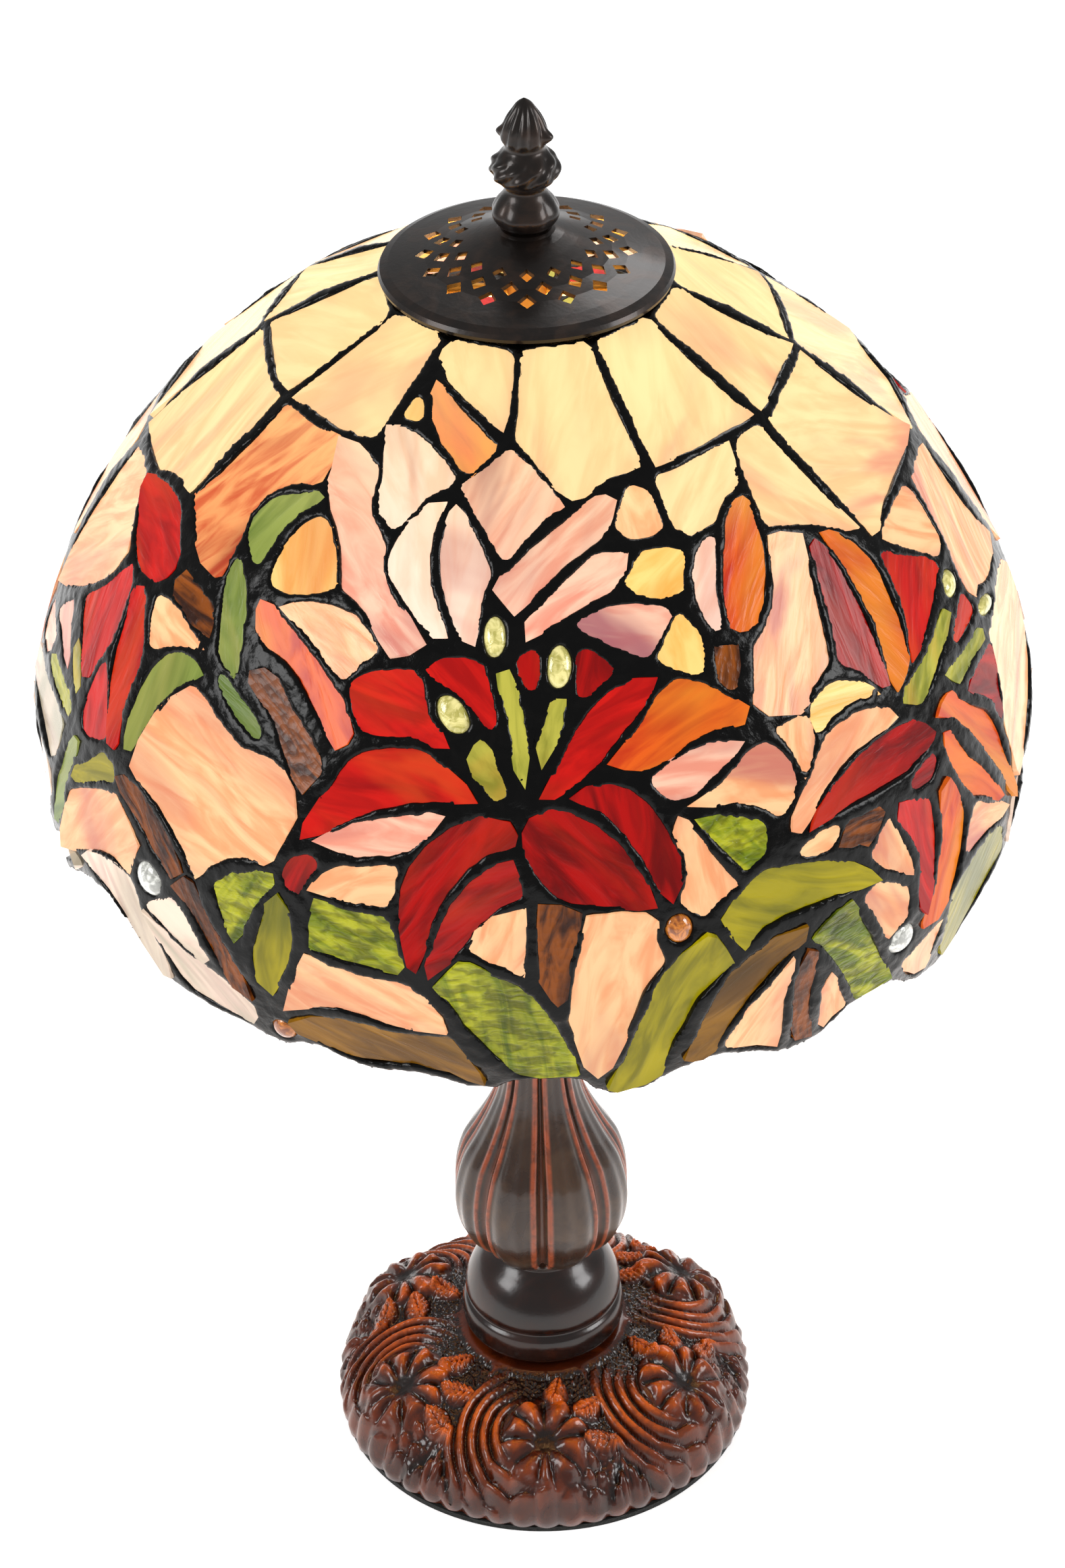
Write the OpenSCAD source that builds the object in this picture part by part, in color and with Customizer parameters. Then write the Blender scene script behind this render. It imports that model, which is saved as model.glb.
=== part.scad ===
// Stained glass table lamp: leaded dome shade on a harp, vase stem and cast base.
// All sizes are in millimetres. The origin is the middle of the felt's underside.

/* [Shade] */
// Greatest radius of the glass dome
dome_r = 152.4; // [150:0.2:154]
// Height of the dome's widest line above the table
dome_z = 291.9; // [291:0.1:293]
// Rise of the dome's curve from its widest line to its pole
dome_rise = 154.1; // [153.5:0.1:154.5]
// Squareness of the dome's curve, 1 is a plain ellipse
dome_power = 1.1226; // [1.1:0.001:1.14]
// Thickness of the soldered came
came_t = 4.6; // [4:0.2:5]
// Thickness of the sheet glass
glass_t = 3; // [2:0.25:3.5]

/* [Base and stem] */
// Greatest radius of the cast base
base_r = 74; // [70:0.5:75]
// Thickness of the felt pad
felt_t = 2; // [1:0.5:2]
// Radius of the threaded lamp pipe
pipe_r = 5; // [4.5:0.1:5]
// Radius of the hole through the cord bushing
cord_hole_r = 3.2; // [2.5:0.1:3.4]

/* [Fittings] */
// Radius of the harp wire
wire_r = 2; // [1.8:0.05:2.2]
// Half of the distance between the harp's legs
harp_half = 33; // [31:0.5:34]
// Radius of the harp's threaded stud
stud_r = 3.175; // [3:0.005:3.2]
// Running clearance of sliding and turning fits
fit = 0.08; // [0.05:0.01:0.1]

/* [Hidden] */
$fn = 48;
lobes = 6;
dome_top_lat = 72.5;
glass_sink = 1;
came_proud = 1.3;
bark_t = 3.6;
gem_t = 6;
cut_t = 16;
base_top = 35.5;
vase_foot = 69.5;
vase_top = 200;
saddle_z = 259;
socket_z = 263;
shell_z = 275;
bulb_z = 288;
leg_top = 300;
harp_top = 434;
harp_sweep_r = 90;
harp_mid = (leg_top + harp_top) / 2;
harp_centre = harp_half - sqrt(pow(harp_sweep_r, 2) - pow(harp_top - harp_mid, 2));
cap_seat = 450.4;
cap_top = 454.6;
head_top = harp_top + 12;
stud_top = 468;
finial_z = cap_top + 0.4;
ferrule_z = saddle_z + 4;
ferrule_h = 16;
cord_z = 9;

// ---------------------------------------------------------------- dome
// Signed power, so that the dome's curve runs on below its widest line
function bend(v) = sign(v) * pow(abs(v), dome_power);
// A point of the dome at a bearing and a latitude in degrees, front is bearing 0
function dome(bearing, lat) = [
  dome_r * bend(cos(lat)) * sin(bearing),
  -dome_r * bend(cos(lat)) * cos(bearing),
  dome_z + dome_rise * bend(sin(lat))
];
function mean_of(points, k) = total([for (p = points) p[k]]) / len(points);
function total(values, i = 0) = i < len(values) ? values[i] + total(values, i + 1) : 0;
function unit(v) = v / norm(v);
// Sum of the cross products round a ring of points, which is square to its best plane
function ring_normal(ring, centre, i = 0) = i < len(ring)
  ? cross(ring[i] - centre, ring[(i + 1) % len(ring)] - centre) + ring_normal(ring, centre, i + 1)
  : [0, 0, 0];
function outward(n, from_axis) = n * from_axis < 0 ? -n : n;

// Radius and height of the dome's curve, moved out by a distance
function skin_point(lat, out) = [
  dome_r * bend(cos(lat)) + out * cos(lat),
  dome_z + dome_rise * bend(sin(lat)) + out * sin(lat)
];

// A flat prism whose outline is a list of [bearing, latitude] points on the dome
module pane(outline, t = glass_t) {
  ring = [for (p = outline) dome(p[0], p[1])];
  middle = [mean_of(ring, 0), mean_of(ring, 1), mean_of(ring, 2)];
  n = unit(outward(ring_normal(ring, middle), middle - [0, 0, dome_z]));
  centre = middle - n * glass_sink;
  u = unit(cross([0, 0, 1], n));
  v = cross(n, u);
  multmatrix([
    [u[0], v[0], n[0], centre[0]],
    [u[1], v[1], n[1], centre[1]],
    [u[2], v[2], n[2], centre[2]]
  ])
    linear_extrude(height = t, center = true)
      polygon([for (p = ring) [(p - centre) * u, (p - centre) * v]]);
}

// The design covers half of the shade and is repeated half a turn on
module panes(outlines, t = glass_t) {
  for (half = [0, 180])
    for (o = outlines)
      rotate([0, 0, half])
        pane(o, t);
}

// An oval outline from its middle, its half sizes in degrees and its lean
function oval(bearing, lat, a, b, lean = 0) = [
  for (k = [0:13])
    let (c = a * cos(k * 360 / 14), s = b * sin(k * 360 / 14))
      [bearing + c * cos(lean) - s * sin(lean), lat + c * sin(lean) + s * cos(lean)]
];

// ---------------------------------------------------------------- glass pattern
// Tall crown panes under the cap, and the row below them
crown = [
  [[-95, 71], [-80, 71.7], [-66, 71], [-63.5, 69.5], [-63.2, 65], [-64, 61], [-65, 58], [-72, 57.8],
   [-80, 58.2], [-95, 58]],
  [[-60.8, 71], [-58, 71.7], [-38, 71.7], [-36, 71], [-35, 66], [-35.2, 60], [-36, 58.2],
   [-45, 57.9], [-61.5, 57.9], [-61.2, 64]],
  [[-30.5, 70.2], [-29, 71.6], [-8, 71.6], [-5.3, 70.5], [-5.2, 65], [-6, 61.7], [-15, 64.2],
   [-24, 66.7], [-30, 69.2]],
  [[-2.2, 69.5], [-0.5, 71.5], [21, 71.5], [23, 70.5], [22.6, 64], [22.8, 57.8], [22, 56.4],
   [15.5, 55.8], [10, 54.4], [8, 54.2], [5.5, 55.3], [3, 57], [0, 59], [-3, 60.5]],
  [[27, 70], [29, 71.5], [51, 71.5], [52.6, 71], [52, 64], [52.3, 58], [52.8, 56.6], [45, 56.8],
   [35, 56.4], [26, 56.1], [25.6, 60], [26, 65]],
  [[56.5, 70], [58, 71.3], [78, 71.3], [81, 70.5], [80, 66], [81, 60], [82.3, 57.3], [76, 57.6],
   [68, 57.5], [62, 57], [56.5, 56.5], [56, 62]],
  [[-94.5, 56.8], [-77, 57], [-65.4, 56.5], [-65, 52], [-65.6, 46], [-66, 43.8], [-70, 43.7],
   [-74, 43.1], [-78, 41.6], [-85, 41.2], [-92.3, 41], [-93.5, 46]],
  [[56.4, 55], [60, 55.4], [65, 56.1], [72, 56.3], [82.4, 56], [82.5, 52], [83.2, 48], [84.6, 44],
   [86.2, 41.4], [80, 41.4], [72, 41.5], [65, 41], [60, 40], [58.4, 40], [57.8, 43], [56.6, 48],
   [56.1, 52]],
  [[47, 55.5], [50, 55.4], [52.7, 55.2], [53.4, 52], [54.3, 48], [55.2, 44], [56, 41.4], [54, 42.3],
   [51, 43.7], [47.5, 45], [44.5, 45.8], [41, 46.5], [41.5, 49], [42.2, 51], [43.2, 53],
   [45.3, 54.8]],
  [[24.9, 54.8], [30, 55.1], [36, 55.4], [43, 55.4], [41.7, 53.8], [40.2, 52.2], [39.5, 51.4],
   [36.5, 50.9], [34, 49.8], [32.3, 48.9], [30, 48.6], [27, 48.4], [25, 49.6]]
];

// Warm background panes between the flowers
field = [
  [[-89, 38.7], [-84, 39.9], [-80, 39.8], [-78.6, 38.6], [-75, 36.6], [-70.4, 34], [-71, 32],
   [-72.5, 30], [-75, 28], [-78, 26], [-82, 23.7], [-87, 21.5], [-89, 25], [-90, 30], [-90, 35]],
  [[-59.2, 33.7], [-57, 34.2], [-54, 34.1], [-50, 33], [-47, 32.3], [-49.5, 31.8], [-52, 31],
   [-54, 30], [-55.6, 29.2], [-56.6, 29.6], [-58, 31.6]],
  [[-52, 17], [-51.7, 20], [-50.5, 23.5], [-49, 25.8], [-46.5, 28], [-45, 28.2], [-41, 26.5],
   [-37, 25], [-32.5, 25], [-30.5, 24.2], [-28.8, 22.5], [-28, 20], [-29, 17.5], [-30, 14.8],
   [-31, 14], [-33.5, 13.8], [-36, 12.7], [-38, 11], [-39.6, 8.9], [-41.5, 10.7], [-44, 12.7],
   [-47, 14.6], [-50, 15.8]],
  [[-54, 12], [-51, 10], [-49, 8.4], [-49.8, 6], [-50.5, 3.7], [-52, 3.5], [-54, 3.7], [-57, 2.5],
   [-60, 0], [-63, -2.4], [-66.3, -4.3], [-66.2, -2], [-65.3, 3], [-64.6, 6.4], [-62, 8.3],
   [-60, 9.6], [-57, 11.2]],
  [[40.3, 45.3], [42, 45.1], [45.2, 44.1], [44.5, 42.8], [43.4, 40], [42.4, 37], [41.6, 34.5],
   [40.8, 32], [38.6, 31], [36.6, 30.2], [35.2, 29], [34, 28.7], [30, 29.6], [28.5, 31],
   [29.5, 33.3], [30.8, 36.2], [33, 37.3], [35.5, 39], [37.5, 41.2], [39, 43.5]],
  [[60.2, 38.8], [61.5, 39.4], [65, 39.9], [70, 40.2], [72.6, 40], [73.2, 38.8], [72.7, 36.5],
   [71.9, 34], [71.2, 33], [69, 32.8], [67.9, 33.3], [66, 34.7], [63, 36.8]],
  [[76, 39.4], [80, 39.5], [84, 39.2], [86.8, 38.5], [86.4, 36], [86.2, 32], [86.8, 28], [88, 25.2],
   [85, 24.4], [80, 24.5], [77, 25.1], [75, 26], [72.4, 26], [71.3, 27.2], [71.2, 28.5],
   [71.8, 30.5], [73, 33], [74.3, 36]],
  [[71.6, 21.3], [74, 21.6], [77.5, 22], [80, 22.5], [84, 22.4], [88, 21], [90.5, 19], [91.5, 15],
   [90.5, 10], [88, 7], [83, 5], [77, 4], [72, 3.4], [69, 3.6], [68.4, 5], [68.5, 8], [68, 10.5],
   [68.5, 13], [69.7, 16], [70.9, 19.5]],
  [[57.3, 7.1], [58, 7], [61, 4.7], [64, 2.2], [66, 0.2], [64, -0.2], [61, 0.7], [57.5, 1],
   [55.2, 1], [55.8, 4], [56.7, 6]],
  [[30.2, 17], [29.6, 17.2], [30, 18.4], [31.2, 19.7], [32.5, 20.9], [34, 22.5], [35.2, 24.1],
   [37, 25.3], [39, 25.8], [42, 25.9], [45, 25.3], [46.5, 24.3], [47.2, 23.4], [44, 22.8],
   [40, 22.3], [37, 21.3], [34, 19.7], [31.5, 17.8]],
  [[29.3, 14], [31, 15], [33, 15.7], [35.8, 15.8], [35, 14.5], [33.8, 13.5], [31.5, 13.8]],
  [[42.6, 13.1], [42, 13.1], [40.5, 11.5], [39.3, 10.2], [41, 7.9], [43.3, 6.2], [44.9, 5],
   [45, 6.5], [44.4, 8.5], [43.6, 10.5], [42.9, 12.3]],
  [[37.8, 5.2], [38, 5.7], [39.8, 6.2], [41.5, 5.3], [43, 4], [44.2, 3], [44.4, 1], [44.2, -1],
   [44.3, -2.3], [42.8, -3], [41.5, -3.9], [40.8, -3], [39.8, 0], [38.8, 3]],
  [[45.2, -11], [47.5, -9.9], [50, -9], [51.6, -8.8], [51.8, -10.5], [51.6, -13], [52, -16],
   [52.3, -17.2], [49.5, -16.6], [47.5, -14.8], [46, -12.7]],
  [[33.2, -5.6], [34, -7], [35, -9.3], [36, -11.5], [36.7, -13], [35.3, -14.4], [34.2, -15.8],
   [33.3, -14], [32.8, -11], [32.8, -8]],
  [[28, 0.3], [26, -3], [23.3, -6.5], [20.8, -11.6], [21.2, -12.6], [25, -14.3], [28, -15.8],
   [27.8, -11], [27.5, -7], [27.9, -3]],
  [[5.5, 12], [9, 12], [11.5, 11.5], [12.6, 10.5], [12.6, 8], [13.6, 5], [12.4, 3], [11, 0],
   [10.1, -4], [8.9, -8], [7.5, -11.5], [6.2, -13.4], [5.1, -11], [4.2, -7], [3.2, -4], [3.5, 0],
   [4, 5], [4.9, 9]],
  [[16.3, 21.5], [15.8, 20.3], [16.7, 16.8], [16.5, 14.5], [15.6, 12.7], [16.6, 11.6],
   [17.7, 10.4], [20, 11.9], [22, 13], [20, 16.3], [18, 19.5], [17, 21]],
  [[17.8, 22.7], [21, 23.5], [24, 25.3], [26.5, 26.7], [28.5, 26.8], [30.2, 25.6], [31, 24],
   [31, 22], [30, 20.4], [28.6, 19.1], [26, 20.9], [23.5, 22], [20.5, 22.4]],
  [[-1.4, 13.1], [-4.5, 12], [-6.3, 10.2], [-7.1, 8], [-5, 6.7], [-1.6, 5], [-1.4, 8]],
  [[-15.9, 17], [-15.4, 16.5], [-15.8, 13.5], [-16.4, 12.3], [-20, 12.2], [-25, 12.3],
   [-24, 14.2], [-22, 15.8], [-19, 16.3]],
  [[-25.3, 3.4], [-22, 2.5], [-18, 2], [-14.5, 2], [-12, -0.5], [-10.5, -3.5], [-10, -5.6],
   [-13, -5.8], [-16, -6], [-19, -5.3], [-22, -4.9], [-25, -5.6], [-28.2, -7.1], [-27, -3],
   [-26, 1]],
  [[-37.3, 39.6], [-34, 40.7], [-30, 41.2], [-26, 40.9], [-23.5, 39.7], [-21.6, 38], [-23, 37],
   [-25.2, 34.6], [-28, 35.8], [-30, 37], [-33, 38.2]],
  [[15.1, 50.8], [17, 52.8], [19, 54.3], [21, 54.2], [22.5, 53.4], [22.8, 49.7], [20.5, 49.2],
   [17, 49.3], [15.5, 50]],
  [[30.3, 27.7], [32, 28], [34.4, 28], [35, 27], [34.9, 25.3], [34, 24.1], [33, 22.7], [32.5, 22.3],
   [32.1, 24], [31.3, 26]]
];

// Paler panes, mostly along the skirt
pale_field = [
  [[68.6, 1.4], [72, 1.5], [78, 2.2], [84, 3], [88.5, 4.5], [90.5, 2], [90.5, -4], [88, -8.5],
   [82, -7.5], [76, -6.7], [71.5, -8], [69.8, -9], [68.3, -5], [67.6, -2]],
  [[-68.7, 13], [-72, 13.7], [-78, 13.4], [-86, 12.6], [-86.5, 9.2], [-82, 8.2], [-76, 7.6],
   [-71.2, 6.9], [-70, 8], [-69, 10.5]],
  [[-71.2, 4.9], [-75, 5.8], [-82, 6.3], [-86.7, 6.4], [-86.8, 0], [-86, -6.5], [-82, -9.6],
   [-77, -8.6], [-74, -5.7], [-71.7, -2], [-71, 2]],
  [[-68.5, -4.4], [-66, -5.4], [-63, -3.8], [-61.8, -4.2], [-63, -5.4], [-66, -7], [-70, -9.6],
   [-74, -12.8], [-77, -15], [-81, -14.7], [-85, -12.8], [-86, -11], [-82, -11.6], [-77, -10.7],
   [-73, -8]],
  [[-59, 0], [-56, 1.8], [-53, 2.7], [-50.5, 2.4], [-49.2, 0.5], [-48.6, -2], [-47.3, -5.5],
   [-45.6, -9.5], [-45.4, -11.3], [-46.6, -11.6], [-50, -9], [-53, -6], [-55.5, -3.9], [-58, -2.8],
   [-60.3, -1.6]],
  [[-47.6, -1.7], [-45, -3.4], [-42, -5.1], [-38, -6], [-35, -7.8], [-33, -9.3], [-32.8, -10.8],
   [-33.5, -12.2], [-38, -12.3], [-42, -12], [-43.8, -10.5], [-45, -8], [-46.6, -4.5]],
  [[-43.3, 3.7], [-41.5, 2.3], [-39.7, -1], [-38.4, -4], [-39.2, -4.9], [-42, -4], [-44.6, -2.5],
   [-47.5, -0.6], [-46.3, 0.8], [-44.7, 2.4]]
];

white_petals = [
  [[-33.6, 59.8], [-30, 60.2], [-25.2, 59.7], [-20, 58.3], [-15.7, 56.5], [-14.8, 55.7], [-17, 55],
   [-20, 53.6], [-22, 51.6], [-23.8, 49.9], [-25, 50.2], [-27.4, 51.4], [-29, 53.6], [-30, 55.4],
   [-31.8, 57.4]],
  [[-16.2, 53.4], [-18.5, 52.8], [-21, 51.1], [-22.7, 49.2], [-23.2, 47], [-22.2, 45.3],
   [-19.5, 43.5], [-16.5, 41.7], [-13.7, 40.4], [-12.1, 40.5], [-14.2, 43], [-15.9, 45.3],
   [-16.8, 48], [-17.1, 50], [-16.8, 52]],
  [[-14.1, 52.4], [-13.4, 53], [-12, 52.1], [-9, 49.8], [-7.1, 47.8], [-6.5, 46.5], [-7.4, 45],
   [-7.9, 42.5], [-8, 40], [-9.5, 40.4], [-10.9, 41.4], [-12.9, 44], [-14.3, 46.5], [-15, 48.5],
   [-14.7, 50.8]],
  [[31.1, 47.6], [29, 47.2], [27, 46.3], [25.4, 44.5], [24.7, 41.8], [25.1, 40], [26, 39],
   [26.8, 39], [27.2, 40.5], [27.9, 42.8], [29.4, 45]]
];

pink_petals = [
  [[-13.1, 55.5], [-8, 57.8], [-5, 59.3], [-3.2, 59.1], [0, 57.7], [3, 55.8], [5.6, 53.4], [2, 52.1],
   [0, 50.9], [-4.4, 48], [-7.9, 51.1], [-11.3, 53.8]],
  [[-5.4, 45.2], [-4.4, 46.4], [0, 49.2], [5, 51.4], [9, 52.8], [12.5, 53.7], [14, 53.7],
   [15.4, 53.2], [14, 51.8], [12, 49.9], [10, 49.2], [5, 47.4], [1, 45.2], [-2.4, 43]],
  [[-0.6, 41.9], [2, 43.8], [5, 45.8], [10, 48.1], [11.5, 48.3], [15.3, 47.8], [14.4, 46.5],
   [12.4, 44.7], [8.6, 43.8], [5, 42.6], [2.1, 41.6], [-0.7, 40.5]],
  [[6, 41.5], [10, 42.8], [13, 43.1], [16, 42.8], [19, 42.1], [20.4, 41.6], [18, 39.6],
   [15.5, 37.8], [12, 39], [8.2, 40.6]],
  [[-42.2, 56.8], [-38, 56.8], [-34, 56], [-31.2, 55.3], [-30.7, 54], [-30.2, 52.1], [-28.6, 50.5],
   [-26, 49.2], [-24.4, 48], [-24.2, 46.6], [-23.4, 45.2], [-21, 43.2], [-18, 41.5], [-15.2, 39.4],
   [-17, 38.5], [-19.2, 37.9], [-21, 39.2], [-23.5, 41], [-27, 42.5], [-29.4, 43], [-30, 44],
   [-31.4, 46.1], [-34, 48.5], [-37, 50.2], [-39.3, 52.1], [-39.8, 53.8], [-41, 55.6]],
  [[-25, 17.8], [-23, 19.3], [-20, 21], [-16, 22.2], [-12, 22.8], [-10.6, 22.8], [-12.2, 21],
   [-14, 19.1], [-16, 18.2], [-20, 17.4]],
  [[-81.5, 20.4], [-80.5, 21.8], [-78, 24], [-76.7, 23], [-74.5, 21.3], [-72.6, 19.8],
   [-71.9, 18.7], [-75, 19.2], [-78, 20]],
  [[-79.2, 18.2], [-82, 18.6], [-86.3, 18.8], [-86.8, 16.2], [-86, 14.5], [-81, 15],
   [-79.5, 16.6]],
  [[13.5, 25.8], [16, 27.1], [19, 28], [22, 28.2], [25.3, 27.6], [23, 26.1], [20, 24.6],
   [18.5, 23.6], [16.3, 23.5], [14.5, 24.8]]
];

red_petals = [
  [[-78.5, 40.2], [-76, 41.1], [-73, 41.8], [-69.5, 42.1], [-67, 42.1], [-64, 41.1], [-61.5, 39.6],
   [-59.6, 38.3], [-59, 37.1], [-59.5, 36], [-60.6, 35.1], [-62.5, 34.5], [-65, 34.2], [-68, 34.7],
   [-71, 35.8], [-75, 37.8], [-77.8, 39.1]],
  [[-67.5, 33.5], [-69.4, 31.9], [-70.9, 29.8], [-72.8, 28], [-74.6, 26.2], [-73, 24.7],
   [-70.5, 23], [-68.5, 21.4], [-67, 20.6], [-65.9, 21.2], [-65.2, 23], [-64.3, 24.8],
   [-63.9, 26.5], [-64.3, 28.5], [-65, 31], [-65.5, 32.3], [-66.5, 33.3]],
  [[-63.8, 32.6], [-62.3, 33.1], [-61.1, 32.5], [-59.6, 30.9], [-58.1, 29.4], [-57.2, 28],
   [-56.5, 26], [-56.7, 24], [-56.9, 21], [-55.8, 18], [-56, 17.4], [-57.2, 17.4], [-58.2, 18.7],
   [-59.8, 21.1], [-61.2, 23.1], [-62.4, 26], [-63, 29], [-64, 31.5]],
  [[-63, 24.1], [-62.2, 23.4], [-60.7, 21], [-59.2, 18.7], [-58.4, 17.2], [-60, 16.3],
   [-62, 15.6], [-63.4, 15.8], [-64.3, 17], [-64.5, 20], [-64, 22.5]],
  [[-24, 34.1], [-23, 35.2], [-20, 36.3], [-16, 36.6], [-14.7, 35.9], [-14, 34], [-13.3, 32.6],
   [-11.6, 31], [-10.6, 29.9], [-12, 30], [-15, 30.5], [-19, 30.1], [-21.4, 30.3], [-22.9, 31.7]],
  [[-13.8, 36.9], [-12, 38.2], [-9, 38.4], [-6.8, 37.9], [-5.3, 34.5], [-4.6, 31.8], [-6, 32.1],
   [-8, 34], [-10, 35.3], [-12.6, 36.2]],
  [[-26.5, 18.2], [-26.3, 19.5], [-24.9, 22.4], [-23.4, 25.3], [-22.4, 27], [-21, 28],
   [-18, 28.9], [-14.5, 29.2], [-13, 28.9], [-10.9, 27.7], [-8.2, 26], [-6.9, 24.7], [-10, 24.6],
   [-15, 23.8], [-19, 22.4], [-22, 20.8], [-24.9, 19.1]],
  [[0.8, 25.2], [2.7, 27.6], [4.7, 30.8], [7.1, 33.3], [10, 35], [13, 35.6], [15.8, 35.7],
   [13.9, 33.2], [11, 31.1], [8, 28.5], [5, 26.6], [2, 25.3]],
  [[57.8, 38], [60, 36.8], [63, 35.3], [66, 33.8], [67.2, 32.6], [67, 32], [65, 31.3], [62, 30],
   [59, 28.9], [56, 27.9], [53.5, 27.3], [54.6, 28.7], [55.8, 30.8], [56.8, 33.5], [57.5, 36]],
  [[44.5, 14.3], [46.5, 13.6], [48.5, 12.8], [49.4, 11.9], [49.5, 9.5], [49.4, 7], [48.8, 3],
   [47.9, -1], [47.1, -3.5], [46.5, -2], [46.3, 1], [46.6, 4], [46.4, 7], [45.7, 9.5], [44.5, 11.5],
   [44.1, 12.8]],
  [[61.6, 24.8], [66, 24.9], [70, 25.1], [70, 26.2], [69.4, 27.4], [69, 27.6], [67, 27.1],
   [64, 26]]
];

dark_red_petals = [
  [[-2.2, 38.5], [-1, 39.1], [0.8, 39.3], [0.6, 37], [0, 34.6], [-1.4, 36.9]],
  [[6.5, 39.5], [8.5, 38.7], [10.7, 37.2], [9.2, 36.2], [6.2, 34.5], [5.7, 35], [6.1, 37.4]],
  [[-1.1, 21.5], [-0.4, 22.8], [1.5, 23.6], [3.5, 23.5], [6.4, 22.1], [9.3, 19.7], [11.5, 16],
   [12.6, 12.6], [11, 12.7], [7, 13.4], [3.6, 13.8], [1.7, 15], [0, 17.1], [-1, 19.5]],
  [[4.3, 25], [6, 25.7], [8.5, 25.9], [10.9, 25.3], [13.1, 23.3], [14.8, 20.4], [15.9, 17],
   [15.7, 15], [14.6, 12.9], [13.2, 14.7], [11.8, 18.1], [9.8, 21.1], [7.3, 23.7]],
  [[-2.4, 21.3], [-3.1, 22.4], [-6.3, 22.9], [-9.4, 21.8], [-12.1, 19.7], [-14, 17.1],
   [-14.8, 14.5], [-14.8, 12], [-14, 8], [-13.4, 5.4], [-12.9, 4.9], [-12.4, 7], [-11.4, 11],
   [-9.9, 14.4], [-7.7, 17.4], [-5.2, 19.4], [-2.6, 20.5]],
  [[-2.8, 18.5], [-5, 17.7], [-7.4, 15.8], [-9.3, 13.1], [-10.6, 9.5], [-11.5, 5.5], [-11.4, 4.1],
   [-9.6, 6.3], [-7.9, 8.5], [-6.4, 11.1], [-4, 13.4], [-1.6, 14.7], [-1.6, 15.5],
   [-2.4, 17.3]],
  [[-26, 16.3], [-24.3, 16], [-24.7, 15], [-25.9, 13.2], [-26.7, 11.7], [-27.8, 12.3],
   [-28.5, 13.6], [-28, 15.1]],
  [[42.1, 31.2], [42.9, 33.5], [44.1, 37], [45.3, 40.3], [46.4, 42.5], [47.3, 42.8], [48, 41.9],
   [48.8, 40], [49.1, 37], [49.2, 34], [48.8, 31], [48.2, 28.5], [47.9, 26.9], [47.2, 27.1],
   [46, 28.3], [44.6, 29.7], [43.1, 30.7]],
  [[31.6, 16.4], [33.2, 18], [36, 19.8], [40, 21.5], [44, 22.1], [47, 22.2], [49.5, 21.8],
   [51.4, 20.4], [52.4, 19.2], [52, 18.9], [50, 18.1], [47, 17.3], [43, 17.3], [38, 17.4],
   [34.5, 17.2]],
  [[46.4, 15.3], [48, 16.3], [50, 16.9], [52, 17.1], [51.9, 16.5], [51.2, 15.4], [50, 14.7],
   [48, 14.8]],
  [[61.8, 19.9], [65, 20.3], [70, 20.5], [70.6, 20.2], [70, 18], [68.7, 15.5], [67.8, 13.4],
   [67.3, 13.2], [66.9, 14], [66.3, 15.7], [64.7, 17.6], [62.8, 19]]
];

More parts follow.
